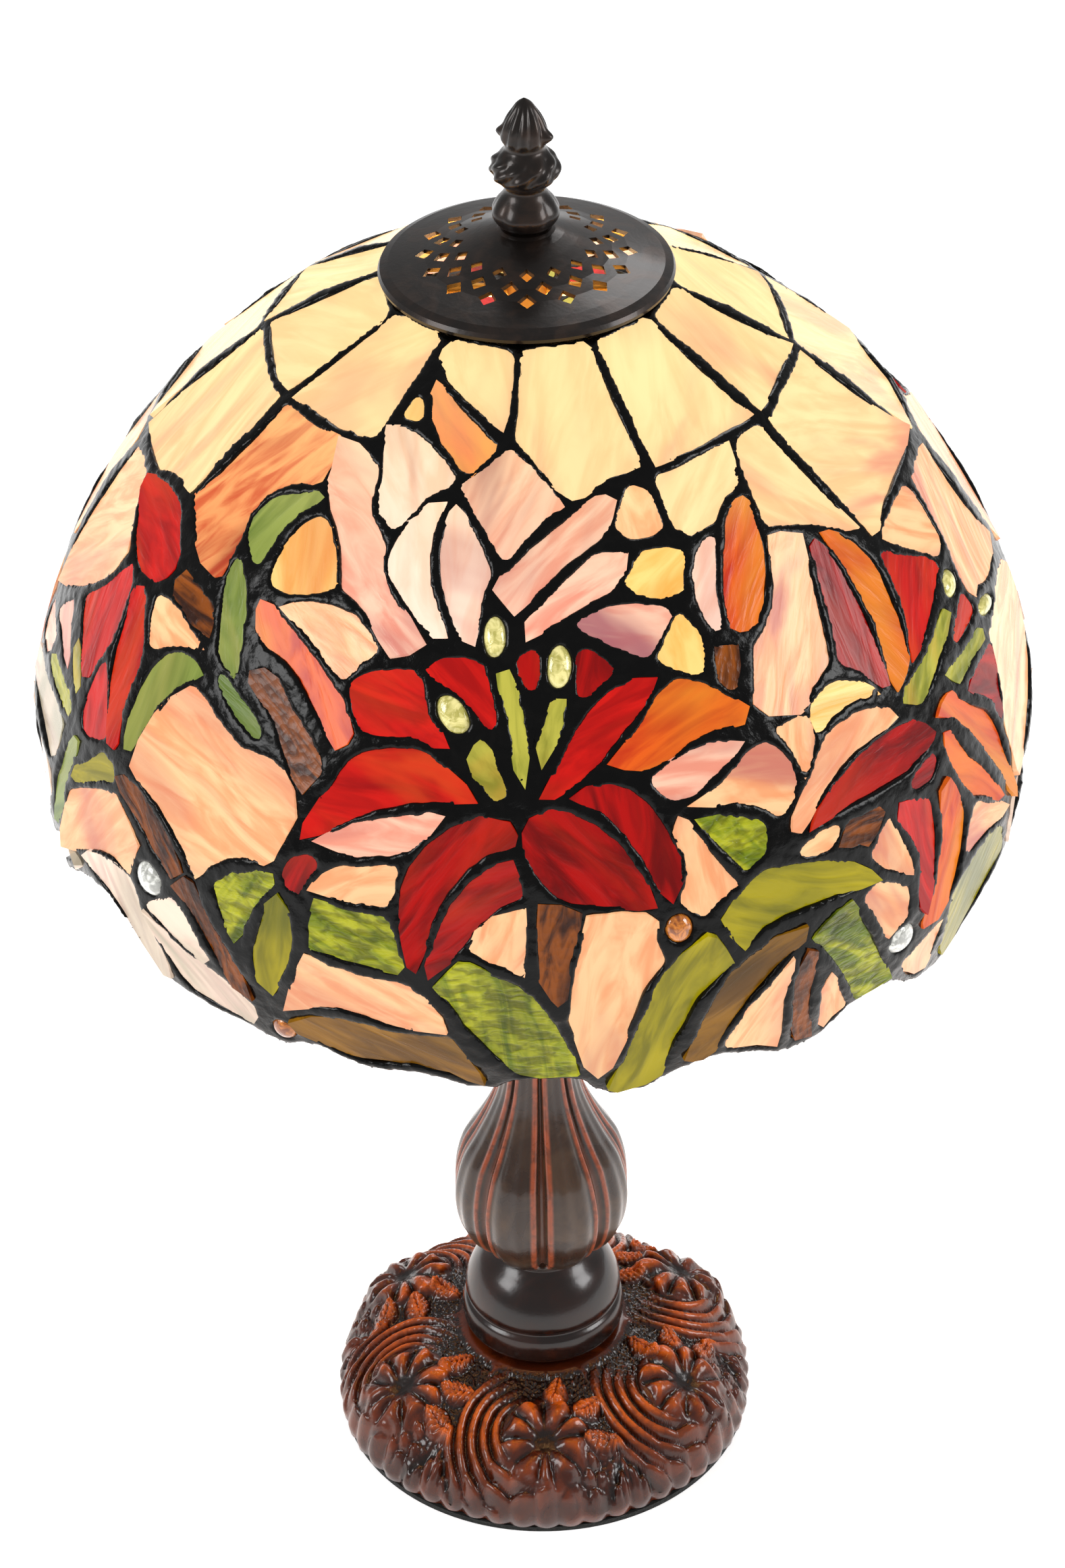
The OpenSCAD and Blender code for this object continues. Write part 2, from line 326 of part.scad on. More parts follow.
streaky_field = [
  [[-61.3, 56.8], [-50, 56.7], [-43.2, 56.8], [-41.8, 55], [-41.5, 52.4], [-43, 51.8],
   [-46, 51], [-48.5, 49.9], [-50.3, 48.3], [-51, 46], [-50.3, 44], [-49.8, 42], [-49.8, 39.6],
   [-50.5, 39.3], [-54, 39.6], [-57, 40.6], [-59, 41.5], [-61.5, 42.8], [-64, 43.9], [-63, 47],
   [-61.9, 52]]
];
orange_petals = [
  [[-40.8, 39], [-38.5, 39], [-36, 38.1], [-33, 37.1], [-30, 35.8], [-27.5, 34.3], [-25, 33],
   [-23.9, 31.4], [-22.8, 29.7], [-23.2, 28.8], [-24.3, 28.1], [-26, 29.6], [-28.5, 31.5],
   [-31, 33.3], [-34, 34.8], [-38, 35.5], [-39.6, 36.7], [-40.6, 38.4]],
  [[9, 28.1], [11.2, 29.6], [14.2, 32.2], [16, 34], [19, 35.2], [22.4, 34.1], [24.8, 32.4],
   [27, 30.8], [26, 29.6], [22, 29.6], [19, 29], [16.5, 27.8], [13.5, 27.2], [10.6, 27.7]],
  [[28.6, 38.7], [29.5, 38.3], [30.5, 38.2], [32.2, 38.5], [34.2, 39.7], [36.3, 41.9],
   [37.8, 43.9], [38.6, 45.6], [39, 47.5], [39.5, 49.4], [39.2, 49.8], [38, 49.8], [36, 49.3],
   [34.6, 48.6], [33.1, 47.1], [31.2, 44.9], [29.6, 42.7], [28.7, 41]],
  [[49.4, 43.1], [50.5, 42.8], [52.4, 41.8], [54.1, 40.3], [55.2, 38.5], [55.7, 36.8],
   [55.2, 34.5], [54.8, 32], [54.1, 29.9], [52.9, 27.8], [51.4, 26.9], [50, 26.3], [48.9, 25.9],
   [49, 27], [49.7, 30], [50.2, 32.5], [50.4, 36], [50.4, 38], [50.2, 40]],
  [[51.3, 12.6], [52.7, 13.3], [53.5, 11.8], [54.3, 9.9], [55.2, 8], [55.2, 6], [54.5, 2],
   [53.3, -2.4], [51.8, -5.3], [50, -6.6], [47.5, -6.3], [47.4, -5.5], [48.6, -2.5], [49.5, 1],
   [50.1, 4.5], [51, 8.5]],
  [[54.2, 18], [55.2, 17.7], [56.3, 16.4], [58.3, 12.9], [60.8, 9.9], [62.7, 6.5], [63.9, 4],
   [63, 4.3], [60.1, 6.8], [57.7, 8.3], [55.9, 11.2], [54.6, 14.1], [54, 16]],
  [[54, 20.4], [55.2, 21], [57, 21.3], [58, 21.1], [59.8, 19.3], [62.3, 17.2], [64.5, 15.4],
   [65.7, 13.4], [66.3, 11.5], [66.5, 9], [67.2, 5], [67.5, 2], [67.4, 1.2], [66.5, 3.2],
   [65.3, 6.2], [63.3, 9.7], [61.3, 13], [59.3, 16.2], [57.2, 19], [55.6, 20]]
];

yellow_petals = [
  [[14.8, 45.2], [16.6, 46.8], [18.5, 47.9], [22, 47.7], [24.9, 47], [23.6, 45], [22.6, 43.2],
   [19.5, 43.2], [17, 43.6], [15.6, 44.3]],
  [[21.4, 41.5], [22.4, 40.1], [23.4, 38.5], [22.9, 36.8], [22.3, 35.2], [20, 35.8],
   [16.8, 37.3]],
  [[-37.5, 49.1], [-35.5, 48.5], [-33, 46.6], [-31.2, 44.4], [-30.3, 42.9], [-32, 42.3],
   [-35, 41.4], [-38, 40.9], [-40.2, 41.1], [-41.1, 41.7], [-41.5, 43.5], [-41, 46],
   [-39.8, 47.9]],
  [[35.5, 27.9], [36.7, 28.9], [38.5, 29.6], [40, 29.8], [42, 29.4], [43.8, 28.4], [45.2, 27.2],
   [45.8, 26.6], [43, 27.2], [41, 27.3], [38.5, 26.9], [36.3, 26.1], [35.6, 25.6]],
  [[-31.8, 61.4], [-31, 64.4], [-28.2, 63.3], [-26.6, 61.6]]
];

flame_bud = [
  [[-27.2, 66], [-25, 65.5], [-15, 62.7], [-7.6, 59.8], [-9.5, 58.3], [-12, 56.7], [-14.4, 57],
   [-16.5, 58.3], [-20, 59.7], [-24.3, 62.3], [-26.6, 64.8]]
];

leaves = [
  [[20.2, 9.2], [22.1, 11.4], [24.8, 13.4], [26, 13.6], [30, 13], [33.5, 12], [36.5, 10.3],
   [38.5, 8.5], [39.6, 7.2], [37.5, 7.4], [34, 7.6], [30.5, 7.6], [27.5, 7.4], [24.6, 6.7],
   [22.3, 4.8], [21.1, 7]],
  [[18.2, 7.8], [15.6, 5.7], [13.2, 3], [12.3, 0], [11.3, -4], [10.1, -8.5], [9.3, -12],
   [7.9, -16], [8.4, -16.8], [12, -16.3], [13.3, -14.8], [14.6, -9.9], [15.8, -7], [17.1, -3],
   [19.1, 0], [20.8, 3], [19.8, 5.4], [18.9, 7.3]],
  [[53.3, -5.2], [54.6, -3.3], [57, -1.8], [60, -1], [63, -1.3], [64.8, -3.2], [66.2, -6],
   [67.5, -9.3], [64, -12], [61, -15], [58.5, -17.3], [56, -18], [54.6, -15], [53.5, -11],
   [53.2, -7.5]],
  [[-28.9, 10.5], [-27.7, 8.9], [-27, 6], [-27.5, 2], [-28.5, -2], [-29.8, -5.2], [-31.2, -3.9],
   [-31.9, -1], [-31.7, 2], [-31.1, 5], [-30.1, 8.8]],
  [[-57.8, 15.5], [-56, 15.2], [-55, 14.4], [-55.2, 13.5], [-57, 12.8], [-59, 11.5], [-61, 10.3],
   [-63, 9.3], [-63.7, 9.2], [-63.3, 10.3], [-62.1, 11.5], [-60.3, 13.2], [-59, 14.8]]
];

rippled_leaves = [
  [[-8.2, 6.2], [-10.7, 2.3], [-9.2, -1], [-7.7, -5], [-5.2, -9], [-3.2, -11.8], [-2.2, -13.2],
   [0, -13], [2.5, -12.7], [4.4, -13.2], [3.5, -10], [2.2, -6], [0.8, -2], [-0.7, 1.3],
   [-2.7, 3.3], [-5.2, 4.8], [-7.2, 6.2]],
  [[-24.3, 11.2], [-21, 10.8], [-16.2, 10.7], [-15.4, 8.5], [-14.5, 5], [-15, 4.1], [-18, 4.2],
   [-22, 4.6], [-24.8, 5.1], [-24.9, 8]],
  [[-29.9, 12.7], [-32, 12.3], [-35, 11], [-37.2, 8.9], [-36.2, 6], [-34.9, 3.4], [-34.2, 2.2],
   [-33.2, 4.2], [-32.3, 7.1], [-30.9, 10], [-29.8, 11.9]],
  [[18.4, 21], [21, 20.7], [23.5, 20.1], [26.1, 18.8], [26.1, 17], [25.8, 15.7], [23.2, 14.4],
   [21.7, 16.4], [20.2, 18.6]],
  [[30.9, 2.8], [32.3, 4], [34, 5.1], [35.7, 5.7], [36.5, 4], [37.6, 1], [38.7, -2], [40.2, -6],
   [41.8, -9.5], [42.9, -12.1], [40.5, -12], [38.2, -12.2], [37.5, -11.2], [36, -8],
   [34.3, -4.5], [32.6, -1]]
];

brown_leaves = [
  [[29.6, 5], [26, 4.6], [23.2, 2.8], [20.8, 0.9], [19.8, -1.5], [18.3, -6], [17.3, -9.5],
   [16.3, -12.6], [16.8, -13.4], [18, -12.9], [19.3, -12.2], [20.8, -9], [23.3, -5], [25.3, -2],
   [27.2, 1], [29.3, 3.2]],
  [[-27.8, -9.3], [-25, -7.8], [-22, -7], [-19, -6.9], [-16, -7.5], [-13, -7.3], [-9.6, -7.1],
   [-8.2, -10], [-6.8, -12.8], [-5.7, -14.8], [-8, -14.6], [-10, -13.6], [-14, -12.8],
   [-17, -13.5], [-20, -13.8], [-22.5, -12.8], [-25, -11.6], [-27, -10.7]]
];

calyx = [
  [[-44.3, 42], [-46, 42.7], [-48, 43.7], [-49.3, 44.7], [-49.9, 46], [-49.2, 47.8], [-48, 48.8],
   [-46, 49.5], [-42, 50.6], [-40.5, 50.8], [-39.3, 50.6], [-40.2, 50], [-42.2, 48.3],
   [-43.7, 46.2], [-44.2, 43.8]],
  [[-48.4, 41.7], [-47, 41.3], [-45.1, 39.9], [-43.2, 38.1], [-41.7, 35], [-40.6, 32.5],
   [-40.6, 31.5], [-43, 32.1], [-44.5, 32.9], [-45.9, 35.2], [-47.3, 37.6], [-48.4, 39.5]],
  [[-43.5, 30.9], [-42, 30.8], [-39, 29.6], [-36.5, 28.6], [-34.7, 27.4], [-34.3, 26.8],
   [-34.9, 26.5], [-37.5, 27.3], [-40, 28.5], [-42.3, 30.1]],
  [[-45.6, 29.8], [-47.2, 30.4], [-50, 30.7], [-52.8, 29.5], [-54.2, 27.3], [-54.9, 25],
   [-54.9, 22], [-54.3, 19.3], [-53.8, 18.3], [-53.2, 18.6], [-52.3, 21], [-51, 24.6],
   [-49.3, 27.2], [-47.3, 28.9]],
  [[-64.6, 13.6], [-63.6, 13.7], [-63.9, 12.6], [-64.8, 10], [-65.6, 6.5], [-66.3, 3],
   [-67.3, 0], [-68.2, -1.8], [-69.3, -2.2], [-69.2, 0], [-69.2, 3], [-68.9, 5.4], [-67.7, 8],
   [-66.6, 11]]
];

bark = [
  [[-56, 37.5], [-53, 37], [-50, 36.5], [-48.6, 36.3], [-47.4, 34.9], [-46.8, 33.9], [-50, 33.7],
   [-53, 34.5], [-55.8, 35.1], [-56.7, 36.3]],
  [[-38, 32.5], [-36.5, 33], [-34, 32.5], [-31.1, 30.3], [-28.6, 28.8], [-26.7, 26.9],
   [-25.7, 25.3], [-27.4, 22.9], [-29.4, 24.5], [-30.9, 26.2], [-32.9, 28.7], [-36, 30.7],
   [-37.8, 31.7]],
  [[-54.1, 14.6], [-53, 15], [-50, 14.7], [-47, 13.3], [-44.6, 11.5], [-42.7, 9.4], [-41.9, 8.5],
   [-43.1, 7.3], [-45, 8.5], [-47, 9.7], [-49, 11.2], [-51, 12.5], [-53, 13.5]],
  [[-41.1, 7.9], [-40.1, 7.7], [-38.7, 4.9], [-36.3, 1], [-34.3, -3], [-32.6, -7.4],
   [-34.8, -6.6], [-36.8, -3.4], [-38.8, 1], [-40.8, 4.5], [-42.8, 6.2]],
  [[0.3, 13.5], [2.5, 13.3], [4.5, 12.3], [3.9, 9], [3.1, 5.5], [2.7, 1.2], [2.2, 0.2],
   [1.7, 1.2], [0.5, 4], [0.2, 8]],
  [[25.2, 37], [28, 36.7], [27.4, 35], [26.2, 32.9], [24.5, 33.8]],
  [[37, 15.5], [40, 15.3], [41.3, 15.1], [41.6, 14.6], [40.2, 13], [39, 12.1], [38, 12.8],
   [36.6, 13], [35.3, 13.4]],
  [[30, 1], [30.8, 0], [31, -4], [30.9, -9], [31.5, -13], [32, -15.7], [30, -15.7],
   [29.3, -12], [28.9, -8], [29, -3]]
];

filaments = [
  [[-4.4, 37], [-3.5, 37.3], [-2.6, 35.9], [-1.4, 33], [-1.1, 29], [-1.2, 26.4], [-2, 28],
   [-2.8, 32], [-4.1, 36]],
  [[2.5, 34.4], [3.8, 34.4], [3.4, 32], [2.2, 30.4], [0.9, 28.3], [0.7, 30], [1.5, 32.2]],
  [[-6.4, 30.5], [-5.5, 29.6], [-4.4, 27.2], [-3.4, 25.3], [-4.6, 24.9], [-6.9, 27.3],
   [-7.6, 28.8], [-6.9, 30]],
  [[49.8, 24.9], [52, 25.6], [56, 26.4], [60, 27.6], [63.2, 28.4], [63.8, 27.9], [61, 26.4],
   [58, 25.1], [55, 23.8], [52.8, 23.1], [51.5, 23.4], [49.6, 24.2]],
  [[58.3, 23.3], [62, 23.3], [66, 23.4], [68.7, 23.2], [69.5, 22.7], [69.2, 22.2], [66, 22.1],
   [62, 21.7], [60.4, 21.6], [59.6, 22.3]],
  [[-71.3, 22.3], [-70.5, 21.8], [-68.5, 20.2], [-67.2, 19], [-67.3, 18.4], [-68.5, 18.9],
   [-70.3, 20.2], [-71.5, 21.3]],
  [[-77.7, 16.6], [-76.5, 17.2], [-72, 17], [-69, 16.7], [-67.4, 15.9], [-67.6, 15.3], [-70, 15],
   [-74, 15.2], [-77.2, 15.9]]
];

anthers = [
  oval(-5.3, 40.7, 1.4, 2),
  oval(3.5, 37.8, 1.5, 2.1, -15),
  oval(-10.2, 33, 2.4, 1.4, -35),
  oval(68, 29.7, 2, 1.2, 12),
  oval(74.1, 23.7, 2.9, 0.9, -12)
];
clear_gems_at = [oval(-47, 4.6, 2, 2.3), oval(44, -6.3, 1.9, 2.2, 15)];
coloured_gems_at = [oval(15.2, 9.2, 1.4, 1.7), oval(-29.3, -11.6, 1.4, 1.5)];

// The wavy skirt, from bearing -90 to 90
skirt = [
  [-90, -14], [-86, -16], [-81, -17.5], [-76, -17.2], [-72, -13.2], [-68, -10], [-65, -8],
  [-60, -5.3], [-56, -4.6], [-52, -7.2], [-48.5, -11], [-46, -12.6], [-40, -13.4], [-35, -13.4],
  [-32, -14.3], [-29.5, -14.7], [-27, -13.2], [-25, -12.8], [-22, -14.2], [-19, -15],
  [-14, -14.2], [-11, -14.8], [-8, -15.9], [-4.8, -16], [-2.8, -14.4], [0, -14.1], [4.5, -14.4],
  [5.5, -16], [8, -18], [12, -17.6], [14, -15.9], [18, -14.1], [20.5, -13.8], [25, -15.5],
  [28, -17], [30, -17.5], [34, -17.3], [37.5, -13.6], [40.5, -13.2], [43.5, -13.4],
  [45.5, -14.6], [48, -16.9], [51.5, -18.8], [56, -19.5], [59.5, -18.6], [64, -14],
  [68.5, -10.8], [71.5, -9.6], [76, -8.3], [82, -9.2], [87, -10.8], [90, -14], [94, -16]
];
skirt_step = 4;

// ---------------------------------------------------------------- shade
module dome_shell() {
  lats = [dome_top_lat, 64, 57, 49, 41, 33, 25, 16, 7, -2, -11, -22];
  outer = [for (a = lats) skin_point(a, came_proud)];
  inner = [for (i = [len(lats) - 1:-1:0]) skin_point(lats[i], came_proud - came_t)];
  rotate_extrude($fn = 96)
    polygon(concat(outer, inner));
}

module skirt_cutters() {
  drop = -32;
  last = len(skirt) - 2;
  for (half = [0, 180])
    for (i = [0:skirt_step:last - 1])
      let (j = min(i + skirt_step + 1, last + 1))
        rotate([0, 0, half])
          pane(concat([for (k = [i:j]) skirt[k]], [[skirt[j][0], drop], [skirt[i][0], drop]]), 60);
}

module shade_came() {
  color("#1d1b19")
    difference() {
      dome_shell();
      panes(crown, cut_t);
      panes(field, cut_t);
      panes(pale_field, cut_t);
      panes(white_petals, cut_t);
      panes(pink_petals, cut_t);
      panes(red_petals, cut_t);
      panes(dark_red_petals, cut_t);
      panes(streaky_field, cut_t);
      panes(orange_petals, cut_t);
      panes(yellow_petals, cut_t);
      panes(flame_bud, cut_t);
      panes(leaves, cut_t);
      panes(rippled_leaves, cut_t);
      panes(brown_leaves, cut_t);
      panes(calyx, cut_t);
      panes(bark, cut_t);
      panes(filaments, cut_t);
      panes(anthers, cut_t);
      panes(clear_gems_at, cut_t);
      panes(coloured_gems_at, cut_t);
      skirt_cutters();
    }
}
module crown_glass() color("#fbe7a0") panes(crown);
module field_glass() color("#f5bd84") panes(field);
module pale_field_glass() color("#e8ddcb") panes(pale_field);
module white_petal_glass() color("#fff6dc") panes(white_petals);
module pink_petal_glass() color("#f3a493") panes(pink_petals);
module red_petal_glass() color("#d92a16") panes(red_petals);
module dark_red_petal_glass() color("#93090a") panes(dark_red_petals);
module streaky_glass() color("#d88a5c") panes(streaky_field);
module orange_petal_glass() color("#f0722a") panes(orange_petals);
module yellow_petal_glass() color("#f8c537") panes(yellow_petals);
module flame_bud_glass() color("#f39a3a") panes(flame_bud);
module leaf_glass() color("#b9a824") panes(leaves);
module rippled_leaf_glass() color("#76862a") panes(rippled_leaves);
module brown_leaf_glass() color("#94702a") panes(brown_leaves);
module calyx_glass() color("#a8b35e") panes(calyx);
module bark_glass() color("#7a3c10") panes(bark, bark_t);
module filament_glass() color("#b9b35a") panes(filaments, bark_t);
module anther_cabochons() color("#d99b2e") panes(anthers, gem_t);
module clear_gems() color("#f3f0e6") panes(clear_gems_at, gem_t);
module coloured_gems() color("#c5661c") panes(coloured_gems_at, gem_t);

// Brass ring soldered inside the crown, which the cap rests on
module cap_ring() {
  ring_r = 38.4;
  color("#9a7a3a")
    translate([0, 0, 435])
      rotate_extrude()
        translate([ring_r - 1.6, 0])
          square([1.6, 6.5]);
}

module shade_cap() {
  vents = 16;
  color("#2b2520")
    difference() {
      rotate_extrude($fn = 96)
        polygon([
          [stud_r + 0.4, cap_seat], [12, cap_seat], [14.5, 450.2], [19.6, 448.2], [24.3, 446.3],
          [29, 444.8], [35.6, 443.3], [39.4, 442.4], [41.4, 441.4], [41.8, 440], [42.6, 440],
          [43, 441.2], [42.4, 442.4], [40, 443.5], [36, 444.5], [29.3, 446], [24.6, 447.5],
          [20, 449.4], [15, 451.5], [11, 453.1], [8.5, 454], [7.5, cap_top],
          [stud_r + 0.4, cap_top]
        ]);
      for (row = [0:2])
        for (k = [0:vents - 1])
          rotate([0, 0, (k + row / 2) * 360 / vents])
            translate([20.1 + row * 4.6, 0, 438])
              cylinder(r = 2.2 + row * 0.3, h = 18, $fn = 4);
    }
}

// ---------------------------------------------------------------- finial
module finial() {
  bore_r = 4.6;
  color("#3a2a1a")
    rotate_extrude()
      polygon([
        [bore_r, finial_z], [6.2, finial_z], [8.2, 456.5], [9.6, 459], [9.4, 461], [7.8, 463.6],
        [6, 466], [5.8, 467.4], [7.2, 469.4], [9.3, 472], [9.8, 474.4], [9.2, 477], [7.2, 479.3],
        [5.9, 480.6], [6.2, 482], [7, 484], [6.6, 486], [5.6, 488.6], [4, 491.6], [2, 494],
        [0, 495], [0, 472], [bore_r, 472]
      ]);
}

module finial_insert() {
  color("#c9a24a")
    difference() {
      translate([0, 0, finial_z + 0.5])
        cylinder(r = 4.5, h = 15);
      translate([0, 0, finial_z])
        cylinder(r = stud_r + fit, h = stud_top - finial_z + 0.8);
    }
}

// ---------------------------------------------------------------- harp
module harp() {
  sweep = asin((harp_top - harp_mid) / harp_sweep_r);
  color("#b08d4a") {
    for (side = [0, 180])
      rotate([0, 0, side]) {
        translate([harp_half, 0, saddle_z + 9])
          cylinder(r = wire_r, h = leg_top - saddle_z - 9);
        translate([harp_centre, 0, harp_mid])
          rotate([90, 0, 0])
            rotate([0, 0, -sweep])
              rotate_extrude(angle = 2 * sweep)
                translate([harp_sweep_r, 0])
                  circle(r = wire_r);
        translate([harp_half, 0, leg_top])
          sphere(r = wire_r);
        translate([harp_half, 0, harp_top])
          sphere(r = wire_r);
      }
    translate([-harp_half, 0, harp_top])
      rotate([0, 90, 0])
        cylinder(r = wire_r, h = 2 * harp_half);
  }
}

// Swivel head with the threaded stud that carries the shade
module harp_head() {
  color("#c9a24a")
    difference() {
      union() {
        translate([0, 0, harp_top - 3])
          cylinder(r = 6, h = head_top - harp_top + 3);
        translate([0, 0, head_top])
          cylinder(r = stud_r, h = stud_top - head_top);
      }
      translate([-20, 0, harp_top])
        rotate([0, 90, 0])
          cylinder(r = wire_r, h = 40);
    }
}

module harp_washer() {
  color("#2a2a2a")
    translate([0, 0, head_top])
      difference() {
        cylinder(r = 9, h = cap_seat - head_top - 0.2);
        translate([0, 0, -1])
          cylinder(r = stud_r, h = 20);
      }
}

module ferrule() {
  color("#c9a24a")
    translate([0, 0, ferrule_z])
      difference() {
        cylinder(r = 4, h = ferrule_h);
        translate([0, 0, -1])
          cylinder(r = wire_r + fit, h = ferrule_h + 2);
      }
}
module ferrule_left() translate([-harp_half, 0, 0]) ferrule();
module ferrule_right() translate([harp_half, 0, 0]) ferrule();

module harp_saddle() {
  color("#b08d4a")
    difference() {
      union() {
        translate([-harp_half - 4, -5, saddle_z])
          cube([2 * harp_half + 8, 10, 2]);
        translate([0, 0, saddle_z])
          cylinder(r = 9, h = 2);
        for (side = [-1, 1])
          translate([side * harp_half, 0, saddle_z])
            cylinder(r = wire_r, h = 9);
      }
      translate([0, 0, saddle_z - 1])
        cylinder(r = pipe_r, h = 4);
    }
}

module hex_nut(z, h, r, flat) {
  translate([0, 0, z])
    difference() {
      cylinder(r = flat / sqrt(3), h = h, $fn = 6);
      translate([0, 0, -1])
        cylinder(r = r, h = h + 2);
    }
}
module saddle_nut() color("#c9a24a") hex_nut(saddle_z + 2, 2, pipe_r, 16);

// ---------------------------------------------------------------- socket
module socket_cap() {
  color("#b8933f")
    translate([0, 0, socket_z])
      rotate_extrude()
        polygon([
          [pipe_r, 0], [9, 0], [10, 3], [16, 8], [17.2, 10], [17.2, 16], [16.4, 16], [16.4, 10.4],
          [15, 8.8], [9, 4.4], [8.2, 8], [pipe_r, 8]
        ]);
}
module socket_shell() {
  color("#c9a24a")
    translate([0, 0, shell_z])
      rotate_extrude()
        polygon([
          [15.6, 0], [16.4, 0], [16.4, 4.2], [17.2, 5], [17.2, 34], [18, 36], [18, 37], [17, 37],
          [16.4, 36], [16.4, 5.4], [15.6, 4.6]
        ]);
}
module socket_liner() {
  color("#8a6a45")
    translate([0, 0, shell_z + 6])
      difference() {
        cylinder(r = 16.3, h = 30);
        translate([0, 0, -1])
          cylinder(r = 15.5, h = 32);
      }
}
module socket_insulator() {
  color("#1c1c1c")
    difference() {
      translate([0, 0, shell_z + 0.5])
        cylinder(r = 15.4, h = 9.5);
      translate([0, 0, shell_z - 1])
        cylinder(r = 2, h = 14);
    }
}
module screw_shell() {
  color("#c98b5a")
    translate([0, 0, shell_z + 10])
      difference() {
        cylinder(r = 14.2, h = 24);
        translate([0, 0, 0.6])
          cylinder(r = 13.6, h = 30);
        translate([0, 0, -1])
          cylinder(r = 5, h = 4);
      }
}
module centre_contact() {
  color("#c98b5a")
    union() {
      translate([0, 0, shell_z + 2])
        cylinder(r = 2, h = 8);
      translate([0, 0, shell_z + 10])
        cylinder(r = 3.5, h = 1.2);
    }
}

// ---------------------------------------------------------------- bulb
module bulb_glass() {
  wall = 1.2;
  outer = [[13, bulb_z + 23], [14, bulb_z + 30], [17.5, bulb_z + 38], [24.5, bulb_z + 49],
           [28.6, bulb_z + 58], [30, bulb_z + 68], [28.8, bulb_z + 78], [24.6, bulb_z + 87.5],
           [17, bulb_z + 94.5], [8, bulb_z + 98], [0, bulb_z + 99]];
  inner = [[0, bulb_z + 99 - wall], [8, bulb_z + 96.6], [16.3, bulb_z + 93.3],
           [23.5, bulb_z + 86.7], [27.5, bulb_z + 77.7], [28.8, bulb_z + 68],
           [27.4, bulb_z + 58.4], [23.4, bulb_z + 49.6], [16.4, bulb_z + 38.6],
           [12.8, bulb_z + 30.2], [11.8, bulb_z + 23]];
  color("#fff3d2")
    rotate_extrude()
      polygon(concat(outer, inner));
}
module bulb_base() {
  color("#c8c8c8")
    translate([0, 0, bulb_z])
      rotate_extrude()
        polygon([
          [0, 0], [4.5, 0], [5, 1.5], [9, 3.6], [13.2, 5.6], [13.2, 23], [11.6, 23], [11.6, 21],
          [0, 21]
        ]);
}
// Glass stem that holds the filament inside the bulb
module bulb_stem() {
  color("#f4e6c0")
    translate([0, 0, bulb_z + 21])
      rotate_extrude()
        polygon([[0, 0], [8, 0], [4, 8], [3, 30], [3.4, 32], [0, 34]]);
}

// ---------------------------------------------------------------- stem
module check_ring() {
  color("#5a4428")
    translate([0, 0, saddle_z - 6])
      rotate_extrude()
        polygon([[pipe_r, 0], [10, 0], [15, 2], [16, 4], [15, 6], [pipe_r, 6]]);
}
module neck_tube() {
  color("#4a3320")
    translate([0, 0, vase_top])
      difference() {
        cylinder(r = 8, h = saddle_z - 6 - vase_top);
        translate([0, 0, -1])
          cylinder(r = pipe_r, h = 80);
      }
}
module vase_stem() {
  color("#5a3a24")
    rotate_extrude()
      polygon([
        [pipe_r, vase_foot], [16.5, vase_foot], [20.5, 72], [24, 76.5], [27.4, 84], [28.8, 92.5],
        [28.4, 101], [25.8, 111], [21.4, 120], [17.4, 129], [14.4, 138], [12.4, 150], [11.2, 165],
        [10.6, 180], [11.4, 190], [14, 196], [14, vase_top], [pipe_r, vase_top]
      ]);
}
module collar() {
  color("#2a1a12")
    rotate_extrude()
      polygon([
        [pipe_r, base_top], [26, base_top], [27.2, 37.5], [27.5, 40], [27.5, 43], [26.9, 45.4],
        [25.6, 47], [25.6, 48], [26.4, 49], [26.4, 51.5], [25.4, 55.5], [23.6, 59.5], [21.2, 63],
        [18.2, 66], [16.6, 68], [16, vase_foot], [pipe_r, vase_foot]
      ]);
}

// ---------------------------------------------------------------- base
module base_casting() {
  recess_r = 22;
  recess_h = 14;
  lobe_r = 27;
  color("#6b2f16")
    difference() {
      union() {
        rotate_extrude($fn = 96)
          polygon([
            [0, felt_t], [base_r - 3, felt_t], [base_r - 1.6, 4], [base_r - 1.6, 8], [68, 15],
            [58, 23], [45, 29], [34, 32], [30, 33], [28.8, base_top], [0, base_top]
          ]);
        intersection() {
          union() {
            for (k = [0:lobes - 1])
              rotate([0, 0, k * 360 / lobes + 90])
                translate([base_r - lobe_r - 0.2, 0, 6])
                  sphere(r = lobe_r);
          }
          translate([0, 0, felt_t])
            cylinder(r = base_r, h = base_top);
        }
      }
      translate([0, 0, -1])
        cylinder(r = pipe_r, h = 60);
      translate([0, 0, -1])
        cylinder(r = recess_r, h = felt_t + recess_h + 1);
      translate([0, 0, cord_z])
        rotate([-90, 0, 0])
          cylinder(r = 5, h = 90);
    }
}
module lamp_pipe() {
  bottom = 6;
  color("#b08d4a")
    translate([0, 0, bottom])
      difference() {
        cylinder(r = pipe_r, h = socket_z + 6 - bottom);
        translate([0, 0, -1])
          cylinder(r = pipe_r - 1.2, h = 300);
      }
}
module base_washer() {
  color("#b0b0b0")
    translate([0, 0, felt_t + 12.5])
      difference() {
        cylinder(r = 14, h = 1.5);
        translate([0, 0, -1])
          cylinder(r = pipe_r, h = 4);
      }
}
module base_nut() color("#b0b0b0") hex_nut(felt_t + 8.5, 4, pipe_r, 17);
module cord_bushing() {
  color("#141414")
    translate([0, 0, cord_z])
      rotate([-90, 0, 0])
        rotate_extrude()
          polygon([
            [cord_hole_r, 56], [5, 56], [5, base_r - 0.4], [5, base_r], [6.5, base_r],
            [6.5, base_r + 1.5], [5.5, base_r + 2.5], [cord_hole_r, base_r + 2.5]
          ]);
}
module felt_pad() {
  color("#31402c")
    cylinder(r = base_r - 4, h = felt_t, $fn = 96);
}

